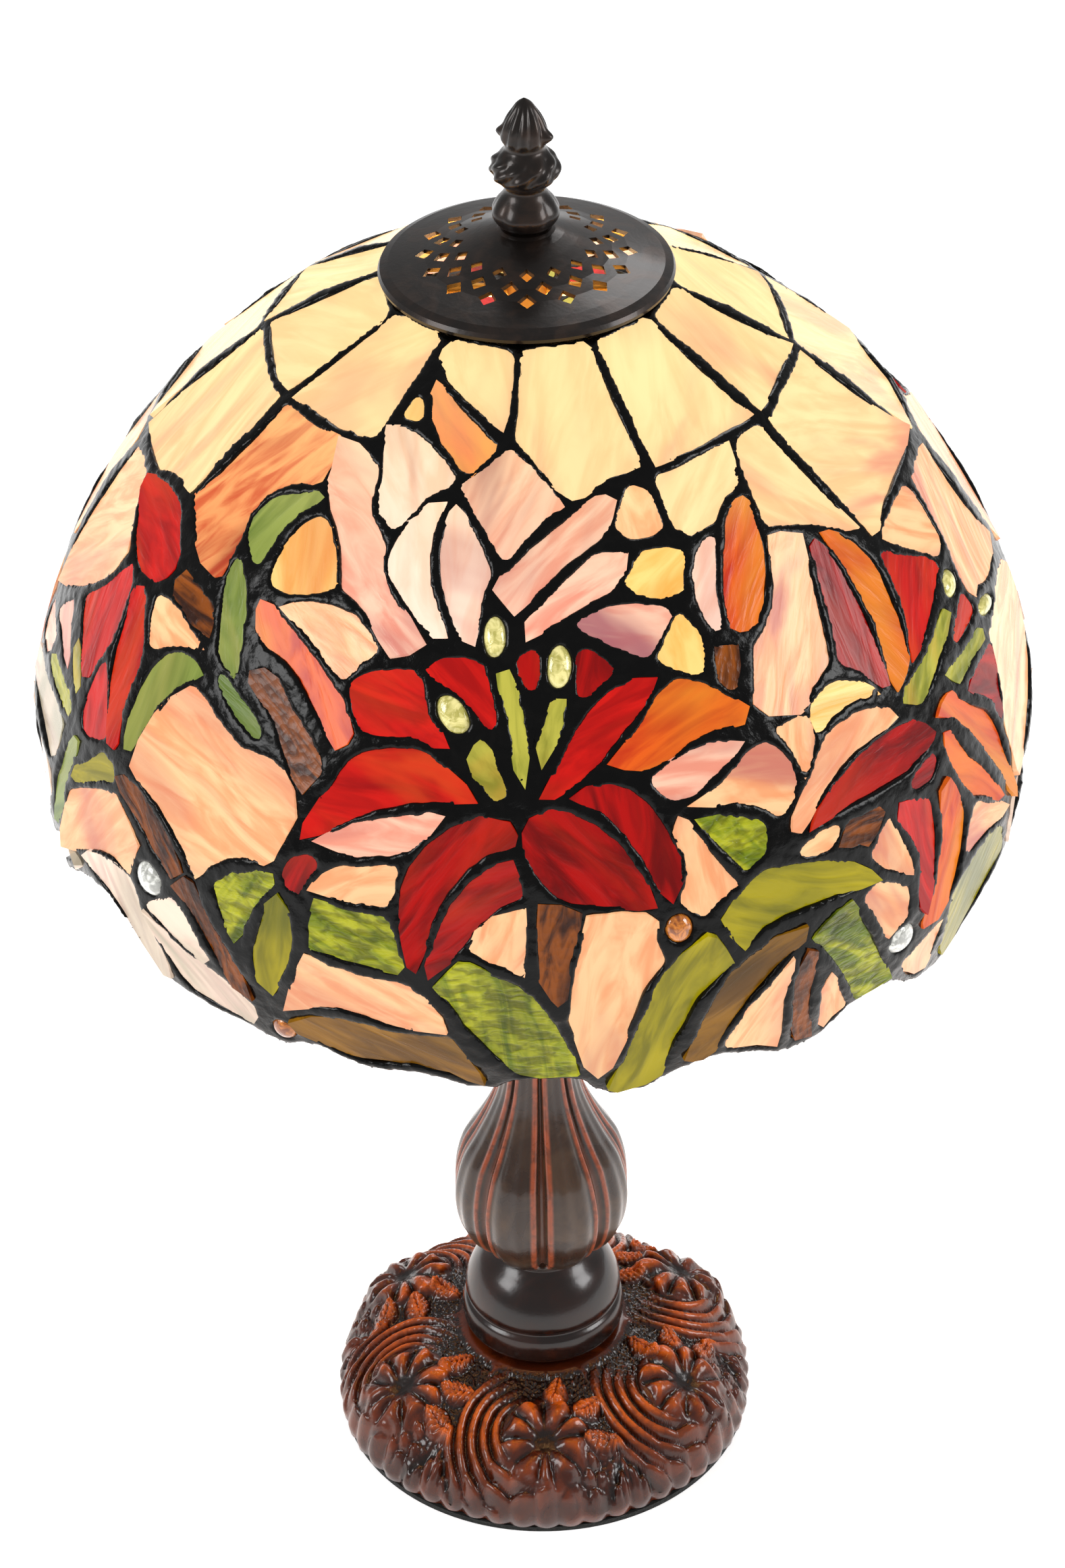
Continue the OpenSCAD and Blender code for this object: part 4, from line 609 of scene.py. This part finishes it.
def build_fittings():
    """Rubber, fibre, moulded and felt parts."""
    rubber = worn_material("black rubber", srgb(22, 22, 22), srgb(40, 40, 40), 0.4, (0.5, 0.7))
    phenolic = worn_material("moulded insulator", srgb(20, 19, 18), srgb(44, 40, 38), 0.4, (0.3, 0.5))
    fibre = worn_material("fibre sleeve", srgb(128, 98, 64), srgb(92, 66, 40), 0.6, (0.7, 0.9),
                          patch=300.0, bump=0.0003)
    felt = worn_material("dark felt", srgb(14, 16, 14), srgb(26, 30, 26), 0.7, (0.85, 1.0), patch=700.0,
                         bump=0.0006)
    for node, material in (("cord_bushing", rubber), ("socket_insulator", phenolic),
                           ("socket_liner", fibre), ("felt_pad", felt)):
        dress(node, material)
    felt.node_tree.nodes["Principled BSDF"].inputs["Sheen Weight"].default_value = 0.1


def build_bulb():
    """Frosted lamp glass that glows, and the stem inside it."""
    material, tree, shader = blank_material("frosted lamp glass")
    mist = object_noise(tree, 90, 4)
    colour = blend_colours(tree, spread(tree, mist, 0.3, 0.7), srgb(255, 240, 206),
                           srgb(255, 226, 170))
    tree.links.new(colour, shader.inputs["Base Color"])
    tree.links.new(colour, shader.inputs["Emission Color"])
    bulb_glow = 2.0
    tune(shader, Emission_Strength=bulb_glow, Roughness=0.35)
    add_bump(tree, shader, mist, 0.0001)
    dress("bulb_glass", material)
    dress("bulb_stem", material)


# ---------------------------------------------------------------- stem and base
def resin_material(name, ground, worn, raised, sunk, layer, gloss, low, high):
    """Cast and stained resin: an even ground, a brighter colour where the work stands proud, partly a
    stained finish and, on the base, partly a painted highlight, and its own colour in the hollows.
    """
    material, tree, shader = blank_material(name)
    wear = placed_group(tree, "patina", Main=tuple(ground), Worn=worn, Share=0.7,
                        Gloss_Low=gloss[0], Gloss_High=gloss[1], Patch_Scale=70.0)
    proud = tree.nodes.new("ShaderNodeAttribute")
    proud.attribute_name = layer
    mask = spread(tree, proud.outputs["Fac"], low, high)
    grain = object_noise(tree, 240, 4, (1, 1, 1), 1.0)
    # Proud work gets a brighter colour: a stained finish, and on the base also a painted highlight.
    stain_and_highlight = sum_of(tree, mask, spread(tree, grain, 0.3, 0.62, 0.45, 1.0), "MULTIPLY")
    colour = blend_colours(tree, stain_and_highlight, wear.outputs["Colour"], tuple(raised))
    deep = spread(tree, proud.outputs["Fac"], -0.9, 0.1, 1.0, 0.0)
    colour = blend_colours(tree, deep, colour, sunk)
    tree.links.new(colour, shader.inputs["Base Color"])
    tree.links.new(wear.outputs["Roughness"], shader.inputs["Roughness"])
    tune(shader, Specular_IOR_Level=0.35, Coat_Weight=0.4, Coat_Roughness=0.12)
    add_bump(tree, shader, wear.outputs["Height"], 0.0002)
    return material


def build_vase():
    """Fluted vase: eight broad petals parted by pairs of thin raised ribs."""
    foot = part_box("vase_stem")[0][2] / MM
    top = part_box("vase_stem")[1][2] / MM
    shape = [(12, 0.2), (16.5, 0), (20.2, 2.2), (24, 7), (27.4, 14.5), (28.8, 23), (28.4, 31.5),
             (25.8, 41.5), (21.4, 50.5), (17.4, 59.5), (14.4, 68.5), (12.4, 80.5), (11.2, 95.5),
             (10.6, 110.5), (11.4, 120), (14, 126.5)]
    outline = curve_through([(radius, foot + rise) for radius, rise in shape] + [(14, top), (8, top)],
                            8)
    bm = turned(outline + [(7.6, top), (7.6, foot + 0.2)], 288, closed=True)
    ribs = 8
    rib_wide = 1.2
    rib_rise = 1.3
    groove_deep = 0.6
    petal_rise = 3.2
    inset = 2.2
    bore_wall = 8.2
    ribbed = []
    for vert in bm.verts:
        x, y, z = (part / MM for part in vert.co)
        radius = math.hypot(x, y)
        if radius < bore_wall:
            ribbed.append(0.0)
            continue
        off = ((math.atan2(y, x) / TURN * ribs) % 1.0 + 0.5) % 1.0 - 0.5
        arc = off / ribs * TURN * radius
        spacing = min(2.6, radius * 0.10)
        rib = math.exp(-((abs(arc) - spacing) / rib_wide) ** 2)
        groove = math.exp(-(arc / (spacing * 0.75)) ** 2)
        petal = 1 - (1 - 2 * abs(off)) ** 2
        body = smoothstep(foot, foot + 3, z) * (1 - smoothstep(top - 14, top - 4, z))
        wide = min(1.0, radius / 26)
        flute = 0.3 * math.cos(3 * TURN * off) * wide
        pinch = 3.2 * math.exp(-(arc / 4) ** 2) * (1 - smoothstep(foot + 2, foot + 9, z))
        swell = petal_rise * wide * petal + flute - groove_deep * groove + rib_rise * rib - pinch
        grow = 1 + body * (swell - inset) / radius
        vert.co.x *= grow
        vert.co.y *= grow
        ribbed.append((rib - 0.8 * groove) * body)
    settings = bpy.context.scene.lamp
    material = resin_material("glazed vase resin", settings.vase, srgb(78, 60, 44), settings.ribs,
                              srgb(92, 54, 38), "ribs", (0.2, 0.36), 0.1, 0.7)
    piece = add_piece("fluted_vase", bm, material, "stand", ["vase_stem"])
    add_attribute(piece, "ribs", ribbed)


def build_collar():
    """Bell shaped collar with a rounded foot and one fine step."""
    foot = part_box("collar")[0][2] / MM
    shape = [(8.2, 0.1), (23, 0.1), (26, 0.4), (27.2, 2), (27.5, 4.5), (27.5, 7.5), (26.9, 9.9),
             (25.7, 11.4), (25.6, 12.5), (26.3, 13.4), (26.4, 16), (25.4, 20), (23.6, 24),
             (21.2, 27.5), (18.2, 30.5), (16.6, 32.5), (16, 33.9), (8.2, 33.9)]
    outline = curve_through([(radius, foot + rise) for radius, rise in shape], 5)
    bm = turned(outline + [(8.0, foot + 33.8), (8.0, foot + 0.2)], 160, closed=True)
    settings = bpy.context.scene.lamp
    material = worn_material("dark turned resin", settings.collar, srgb(52, 25, 16), 0.6, (0.16, 0.3),
                             coat=0.3, patch=50.0, bump=0.00012, shine=0.4)
    add_piece("turned_collar", bm, material, "stand", ["collar"])


def leaf_height(across, along, length, half_width):
    """A pointed leaf with a vein groove, rising from its own axis."""
    if not 0 < along < length:
        return 0.0
    edge = half_width * math.sin(math.pi * (along / length) ** 0.8)
    if abs(across) >= edge:
        return 0.0
    side = 1 - abs(across) / edge
    vein = math.exp(-(across / 0.35) ** 2)
    rows = 0.25 * math.sin((along + abs(across) * 0.8) * 3.4)
    return 1.3 * math.sqrt(side) * (1 + rows * 0.6) - 0.6 * vein


def carving(x, y):
    """Height of the carved work above the base's smooth form.

    Each of the six shells has a daisy near its outer side, ridges that curl round its left,
    three leaves and some berries on its right, and a fan with a seed between it and the next.
    """
    lobes = 6
    radius = math.hypot(x, y)
    bearing = math.atan2(y, x) + math.pi / 2
    step = TURN / lobes
    skew = 0.09
    turn = bearing - round((bearing + skew) / step) * step
    daisy_at = 56
    along = radius * math.cos(turn) - daisy_at
    across = radius * math.sin(turn)
    spin = math.atan2(across, along)
    inner_side = 0.5 - 0.5 * math.cos(spin)
    reach = math.hypot(along, across) / (1 + 0.28 * inner_side)
    shell = math.hypot(along + 4.5, across + 4.5)
    shell_r = 29.5
    daisy_r = 12.8
    half = (step / 2 - abs(turn + skew)) * radius
    inside = 1 - smoothstep(shell_r - 1, shell_r + 1, shell)
    height = 0.0
    wander = 0.35 * math.sin(3 * spin) + 0.2 * math.sin(5 * spin + 1)
    fingers = abs(math.cos(4.5 * spin + wander))
    tip = daisy_r + 1.1 * math.sin(7 * spin + 0.7)
    ring = smoothstep(2.5, 6.5, reach) * (1 - smoothstep(tip - 2, tip, reach))
    finger_rise = 3.8
    finger_sink = 1.7
    swell = 0.6 + 0.4 * smoothstep(4, 10, reach)
    height += ring * (finger_rise * fingers ** 0.8 - finger_sink) * swell
    eye_depth = 1.6
    eye_r = 3.4
    height -= eye_depth * math.exp(-(reach / eye_r) ** 2)
    left = 1 - smoothstep(-0.55, 0.3, math.sin(spin - 0.5))
    curl = shell + 3.4 * spin / math.pi
    ridge_pitch = 4.1
    ridge_rise = 3.8
    ridge_sink = 1.7
    ridge = abs(math.sin(math.pi * curl / ridge_pitch)) ** 0.7
    band = smoothstep(daisy_r - 0.6, daisy_r + 1.2, reach)
    height += band * left * inside * (ridge_rise * ridge - ridge_sink)
    right = (1 - left) * band * inside
    pebbles = noise.noise(Vector((x * 1.1, y * 1.1, 2.0)))
    height += right * (0.9 * pebbles - 0.8)
    leaf_rise = 2.6
    leaf_long = 13.5
    leaf_half = 4.6
    for heading, start in ((2.95, 13.2), (2.35, 13.8), (1.75, 13.2)):
        forward = along * math.cos(heading) + across * math.sin(heading)
        sideways = across * math.cos(heading) - along * math.sin(heading)
        height += leaf_rise * (1 - left) * leaf_height(sideways, forward - start, leaf_long,
                                                       leaf_half)
    berry_rise = 2.0
    berry_r = 1.9
    for heading, away in ((1.4, 16.2), (1.1, 16.8), (1.25, 19.8), (0.8, 16.4), (0.98, 20.0)):
        gap = math.hypot(along - away * math.cos(heading), across - away * math.sin(heading))
        height += berry_rise * math.sqrt(max(0.0, 1 - (gap / berry_r) ** 2))
    height -= 2.2 * math.exp(-((shell - shell_r - 0.6) / 1.1) ** 2) * smoothstep(33, 37, radius)
    outside = 1 - inside
    fan = abs(math.cos(half * 0.95 + (radius - 56) * 0.1)) ** 0.6
    height += outside * smoothstep(32, 40, radius) * (2.8 * fan - 1.6)
    seed_at = 59
    seed_long = 5.5
    seed_wide = 2.2
    seed = 1 - ((radius - seed_at) / seed_long) ** 2 - (half / seed_wide) ** 2
    if seed > 0:
        height += 1.6 * math.sqrt(seed) - 0.6 * math.exp(-(half / 0.5) ** 2)
    grain = noise.noise(Vector((x * 0.9, y * 0.9, 4.0))) + 0.5 * noise.noise(
        Vector((x * 2.4, y * 2.4, 9.0)))
    plain_r = 27.6
    carved_r = 30
    return (height + 0.2 * grain) * smoothstep(plain_r, carved_r, radius)


def build_base():
    """Cast base: six carved shells with daisies, leaves and berries round a plain centre."""
    low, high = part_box("base_casting")
    top = high[2] / MM
    under = low[2] / MM + 0.1
    rim_r = (high[0] - low[0]) / 2 / MM - 0.4
    bore_r = 14.6
    rings = 160
    spokes = 640
    inner = round(rings * 0.2)
    outline = [(rim_r * part / rings, 10) for part in range(rings, inner, -1)]
    below = [(bore_r, under), (60, under), (rim_r - 1.6, under), (rim_r - 0.6, under + 1.2),
             (rim_r, 6.5)]
    bm = turned(below + outline + [(bore_r, top - 0.1)], spokes, closed=True)
    smooth_form = curve_through([
        (rim_r + 0.6, 5), (rim_r, 8), (68.4, 15), (58, 22.6), (45, 28.4), (34, 31.8), (30, 32.8),
        (28.4, 33.6), (14, 33.6)], 12)

    def plain_height(radius):
        for (r_a, z_a), (r_b, z_b) in zip(smooth_form, smooth_form[1:]):
            if r_b <= radius <= r_a:
                return z_b + (z_a - z_b) * (radius - r_b) / max(1e-6, r_a - r_b)
        return smooth_form[-1][1]

    lobe_r = 26.6
    lobe_at = rim_r - 26.4
    lobe_z = 6
    lobe_proud = 4.4
    side_top = 9.5
    proud = []
    for vert in bm.verts:
        x, y, z = (part / MM for part in vert.co)
        radius = math.hypot(x, y)
        bearing = math.atan2(y, x) + math.pi / 2
        scallop = 0.008 * math.cos(6 * bearing) + 0.020 * abs(math.cos(26 * bearing)) - 0.024
        stretch = 1 + scallop * smoothstep(42, 70, radius)
        vert.co.x *= stretch
        vert.co.y *= stretch
        if z < side_top or radius < bore_r + 0.3:
            proud.append(0.0)
            continue
        turn = (bearing + TURN / 12) % (TURN / 6) - TURN / 12
        gap = math.hypot(radius * math.cos(turn) - lobe_at, radius * math.sin(turn))
        lobe = lobe_z + math.sqrt(max(0.0, lobe_r ** 2 - gap ** 2))
        ground = plain_height(radius)
        form = 0.5 * (ground + lobe + math.sqrt((ground - lobe) ** 2 + 3.0)) - 0.5
        form = min(form, ground + lobe_proud)
        form += (smooth_form[-1][1] - form) * (1 - smoothstep(26, 29, radius))
        carved = carving(x * stretch, y * stretch) * (1 - 0.4 * smoothstep(rim_r - 3, rim_r, radius))
        vert.co.z = max(form + carved, under + 2.5) * MM
        # Painted highlight: the proud colour is strongest on the carving near the collar, which faces
        # up, and fades on the outer slopes by the rim.
        proud.append(carved * (1.2 - 0.75 * smoothstep(46, 70, radius)))
    bmesh.ops.recalc_face_normals(bm, faces=bm.faces)
    settings = bpy.context.scene.lamp
    material = resin_material("carved mahogany resin", settings.base, srgb(116, 46, 10),
                              settings.carving, srgb(22, 8, 4), "proud", (0.2, 0.34), 0.3, 3.0)
    piece = add_piece("carved_base", bm, material, "stand", ["base_casting"])
    add_attribute(piece, "proud", proud)


# ---------------------------------------------------------------- stage
def build_stage():
    """Pale floor, even world light, three soft boxes and a lamp light inside the shade."""
    settings = bpy.context.scene.lamp
    scene = bpy.context.scene
    scene.view_settings.view_transform = "Standard"
    floor_mesh = bmesh.new()
    floor_reach = 6
    bmesh.ops.create_grid(floor_mesh, x_segments=1, y_segments=1, size=floor_reach)
    mesh = bpy.data.meshes.new("floor")
    floor_mesh.to_mesh(mesh)
    floor_mesh.free()
    floor = bpy.data.objects.new("floor", mesh)
    scene.collection.objects.link(floor)
    material, tree, shader = blank_material("pale floor")
    haze = object_noise(tree, 3, 2)
    tree.links.new(blend_colours(tree, haze, srgb(250, 250, 250), srgb(246, 246, 246)),
                   shader.inputs["Base Color"])
    shader.inputs["Emission Color"].default_value = (1, 1, 1, 1)
    floor_glow = 0.62
    tune(shader, Emission_Strength=floor_glow, Roughness=0.7)
    mesh.materials.append(material)
    world = bpy.data.worlds.new("soft studio")
    world.use_nodes = True
    world.node_tree.nodes["Background"].inputs["Color"].default_value = (1, 1, 1, 1)
    world.node_tree.nodes["Background"].inputs["Strength"].default_value = settings.sky
    scene.world = world
    centre = Vector((0, 0, 0.25))
    for name, place, size, power in (
        ("left soft box", (-1.6, -0.7, 1.2), 0.8, 16),
        ("right soft box", (1.6, -0.4, 1.0), 0.7, 13),
        ("back soft box", (0.3, 1.6, 1.7), 0.9, 12),
    ):
        light = bpy.data.lights.new(name, "AREA")
        light.size = size
        light.energy = power
        lamp = bpy.data.objects.new(name, light)
        lamp.location = place
        lamp.rotation_euler = (centre - Vector(place)).to_track_quat("-Z", "Y").to_euler()
        scene.collection.objects.link(lamp)
    bulb = bpy.data.lights.new("bulb light", "POINT")
    bulb.energy = settings.bulb_power
    bulb.color = srgb(255, 214, 160)[:3]
    bulb.shadow_soft_size = 0.03
    glow = bpy.data.objects.new("bulb light", bulb)
    above_bulb = 0.012
    glow.location = (0, 0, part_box("bulb_glass")[1][2] + above_bulb)
    scene.collection.objects.link(glow)


def build_camera():
    """A long lens that looks down on the lamp from the front."""
    down = 0.6193
    yaw = -0.0007
    roll = -0.0164
    back = -1.0674
    height = 1.0192
    ahead = Vector((math.sin(yaw) * math.cos(down), math.cos(yaw) * math.cos(down),
                    -math.sin(down)))
    level = Vector((math.cos(yaw), -math.sin(yaw), 0))
    above = level.cross(ahead)
    right = math.cos(roll) * level + math.sin(roll) * above
    up = -math.sin(roll) * level + math.cos(roll) * above
    data = bpy.data.cameras.new("camera")
    data.lens = 96
    data.sensor_width = 36
    camera = bpy.data.objects.new("camera", data)
    camera.matrix_world = Matrix((
        (right.x, up.x, -ahead.x, 0),
        (right.y, up.y, -ahead.y, back),
        (right.z, up.z, -ahead.z, height),
        (0, 0, 0, 1)))
    bpy.context.scene.collection.objects.link(camera)
    bpy.context.scene.camera = camera


# ---------------------------------------------------------------- add-on
class LampSettings(bpy.types.PropertyGroup):
    """Sizes, levels and colours that a user may change before building the lamp."""
    solder_grid: FloatProperty(
        name="Solder grid", description="Grid on which the solder lines are rounded off",
        default=1.0 * MM, min=0.5 * MM, max=2 * MM, unit="LENGTH", precision=5)
    solder_fill: FloatProperty(
        name="Solder fill", description="How much the solder beads swell after rounding",
        default=-0.1 * MM, min=-1 * MM, max=1 * MM, unit="LENGTH", precision=5)
    solder_lumps: FloatProperty(
        name="Solder lumps", description="Height of the lumps along a solder line",
        default=0.22 * MM, min=0, max=1 * MM, unit="LENGTH", precision=5)
    glow: FloatProperty(
        name="Glass glow", description="How brightly the glass is lit from inside",
        default=1.06, min=0, max=3, subtype="FACTOR")
    bulb_power: FloatProperty(
        name="Bulb power", description="Power of the light at the bulb",
        default=1.6, min=0, max=20, unit="POWER")
    sky: FloatProperty(
        name="Studio light", description="Level of the even studio light",
        default=0.38, min=0, max=3, subtype="FACTOR")
    crown: FloatVectorProperty(
        name="Crown", description="Paler colour of the crown panes",
        default=srgb(254, 216, 158), size=4, min=0, max=1, subtype="COLOR")
    field: FloatVectorProperty(
        name="Background", description="Paler colour of the background panes",
        default=srgb(249, 198, 146), size=4, min=0, max=1, subtype="COLOR")
    # Painted shade: the pale panes are background glass coloured as if the bulb lit them less.
    skirt: FloatVectorProperty(
        name="Skirt", description="Paler colour of the pale panes near the rim",
        default=srgb(238, 212, 190), size=4, min=0, max=1, subtype="COLOR")
    white_petal: FloatVectorProperty(
        name="White petals", description="Paler colour of the white petals",
        default=srgb(253, 222, 198), size=4, min=0, max=1, subtype="COLOR")
    pink_petal: FloatVectorProperty(
        name="Pink petals", description="Paler colour of the pink petals",
        default=srgb(246, 194, 166), size=4, min=0, max=1, subtype="COLOR")
    red_petal: FloatVectorProperty(
        name="Red petals", description="Paler colour of the red petals",
        default=srgb(204, 20, 12), size=4, min=0, max=1, subtype="COLOR")
    dark_petal: FloatVectorProperty(
        name="Dark petals", description="Paler colour of the dark red petals",
        default=srgb(172, 8, 5), size=4, min=0, max=1, subtype="COLOR")
    streaky: FloatVectorProperty(
        name="Streaky panes", description="Paler colour of the strongly streaked panes",
        default=srgb(242, 158, 96), size=4, min=0, max=1, subtype="COLOR")
    orange_petal: FloatVectorProperty(
        name="Orange petals", description="Paler colour of the orange petals",
        default=srgb(226, 92, 22), size=4, min=0, max=1, subtype="COLOR")
    yellow_petal: FloatVectorProperty(
        name="Yellow petals", description="Paler colour of the yellow petals",
        default=srgb(251, 210, 124), size=4, min=0, max=1, subtype="COLOR")
    flame: FloatVectorProperty(
        name="Flame buds", description="Paler colour of the flame coloured buds",
        default=srgb(236, 84, 26), size=4, min=0, max=1, subtype="COLOR")
    leaf: FloatVectorProperty(
        name="Leaves", description="Paler colour of the plain leaves",
        default=srgb(172, 156, 8), size=4, min=0, max=1, subtype="COLOR")
    rippled_leaf: FloatVectorProperty(
        name="Rippled leaves", description="Paler colour of the rippled leaves",
        default=srgb(176, 176, 34), size=4, min=0, max=1, subtype="COLOR")
    brown_leaf: FloatVectorProperty(
        name="Brown leaves", description="Paler colour of the brown leaves",
        default=srgb(142, 96, 12), size=4, min=0, max=1, subtype="COLOR")
    calyx: FloatVectorProperty(
        name="Calyxes", description="Paler colour of the calyxes and stems",
        default=srgb(132, 146, 66), size=4, min=0, max=1, subtype="COLOR")
    bark: FloatVectorProperty(
        name="Bark", description="Paler colour of the bark",
        default=srgb(138, 70, 14), size=4, min=0, max=1, subtype="COLOR")
    filament: FloatVectorProperty(
        name="Filaments", description="Paler colour of the filaments",
        default=srgb(182, 176, 70), size=4, min=0, max=1, subtype="COLOR")
    solder: FloatVectorProperty(
        name="Solder", description="Colour of the blackened solder",
        default=srgb(4, 4, 4), size=4, min=0, max=1, subtype="COLOR")
    bronze: FloatVectorProperty(
        name="Bronze", description="Colour of the cap, the finial and the harp fittings",
        default=srgb(34, 28, 25), size=4, min=0, max=1, subtype="COLOR")
    brass: FloatVectorProperty(
        name="Brass", description="Colour of the harp and the lamp holder",
        default=srgb(196, 160, 84), size=4, min=0, max=1, subtype="COLOR")
    collar: FloatVectorProperty(
        name="Collar", description="Colour of the turned collar",
        default=srgb(24, 13, 10), size=4, min=0, max=1, subtype="COLOR")
    vase: FloatVectorProperty(
        name="Vase", description="Ground colour of the vase",
        default=srgb(46, 33, 25), size=4, min=0, max=1, subtype="COLOR")
    ribs: FloatVectorProperty(
        name="Vase ribs", description="Colour of the ribs between the petals of the vase",
        default=srgb(150, 74, 44), size=4, min=0, max=1, subtype="COLOR")
    base: FloatVectorProperty(
        name="Base", description="Ground colour of the carved base",
        default=srgb(62, 22, 7), size=4, min=0, max=1, subtype="COLOR")
    carving: FloatVectorProperty(
        name="Carving", description="Colour of the carved work that stands proud",
        default=srgb(218, 100, 14), size=4, min=0, max=1, subtype="COLOR")


class LAMP_OT_stage(bpy.types.Operator):
    """Set the floor, the camera and the studio light"""
    bl_idname = "lamp.stage"
    bl_label = "Stage"
    bl_options = {"REGISTER", "UNDO"}

    def execute(self, context):
        build_camera()
        build_stage()
        return {"FINISHED"}


class LAMP_OT_metals(bpy.types.Operator):
    """Make the shared effects and the metals that carry them"""
    bl_idname = "lamp.metals"
    bl_label = "Metals and fittings"
    bl_options = {"REGISTER", "UNDO"}

    def execute(self, context):
        make_sheet_group()
        make_wear_group()
        build_metals()
        build_fittings()
        return {"FINISHED"}


class LAMP_OT_sheets(bpy.types.Operator):
    """Build the sheet glass panes of the shade"""
    bl_idname = "lamp.sheets"
    bl_label = "Sheet glass"
    bl_options = {"REGISTER", "UNDO"}

    def execute(self, context):
        build_sheets()
        return {"FINISHED"}


class LAMP_OT_gems(bpy.types.Operator):
    """Build the cabochons and jewels of the shade"""
    bl_idname = "lamp.gems"
    bl_label = "Cabochons"
    bl_options = {"REGISTER", "UNDO"}

    def execute(self, context):
        build_gems()
        return {"FINISHED"}


class LAMP_OT_came(bpy.types.Operator):
    """Build the solder lines of the shade"""
    bl_idname = "lamp.came"
    bl_label = "Solder lines"
    bl_options = {"REGISTER", "UNDO"}

    def execute(self, context):
        build_came()
        return {"FINISHED"}


class LAMP_OT_finial(bpy.types.Operator):
    """Build the cast finial"""
    bl_idname = "lamp.finial"
    bl_label = "Finial"
    bl_options = {"REGISTER", "UNDO"}

    def execute(self, context):
        build_finial()
        return {"FINISHED"}


class LAMP_OT_bulb(bpy.types.Operator):
    """Finish the bulb"""
    bl_idname = "lamp.bulb"
    bl_label = "Bulb"
    bl_options = {"REGISTER", "UNDO"}

    def execute(self, context):
        build_bulb()
        return {"FINISHED"}


class LAMP_OT_stem(bpy.types.Operator):
    """Build the fluted vase and the turned collar"""
    bl_idname = "lamp.stem"
    bl_label = "Vase and collar"
    bl_options = {"REGISTER", "UNDO"}

    def execute(self, context):
        build_vase()
        build_collar()
        return {"FINISHED"}


class LAMP_OT_base(bpy.types.Operator):
    """Build the carved base"""
    bl_idname = "lamp.base"
    bl_label = "Base"
    bl_options = {"REGISTER", "UNDO"}

    def execute(self, context):
        build_base()
        return {"FINISHED"}


OPERATORS = (LAMP_OT_stage, LAMP_OT_metals, LAMP_OT_sheets, LAMP_OT_gems, LAMP_OT_came,
             LAMP_OT_finial, LAMP_OT_bulb, LAMP_OT_stem, LAMP_OT_base)


class LAMP_PT_panel(bpy.types.Panel):
    """Lists the lamp's settings and its pieces."""
    bl_idname = "LAMP_PT_panel"
    bl_label = "Stained glass lamp"
    bl_space_type = "VIEW_3D"
    bl_region_type = "UI"
    bl_category = "Lamp"

    def draw(self, context):
        column = self.layout.column()
        for label in LampSettings.__annotations__:
            column.prop(context.scene.lamp, label)
        for operator in OPERATORS:
            column.operator(operator.bl_idname)


CLASSES = (LampSettings,) + OPERATORS + (LAMP_PT_panel,)


def register():
    for each in CLASSES:
        bpy.utils.register_class(each)
    bpy.types.Scene.lamp = PointerProperty(type=LampSettings)


def unregister():
    del bpy.types.Scene.lamp
    for each in reversed(CLASSES):
        bpy.utils.unregister_class(each)


def main():
    register()
    for operator in OPERATORS:
        name = operator.bl_idname.split(".")[1]
        getattr(bpy.ops.lamp, name)()
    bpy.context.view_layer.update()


if __name__ == "__main__":
    main()
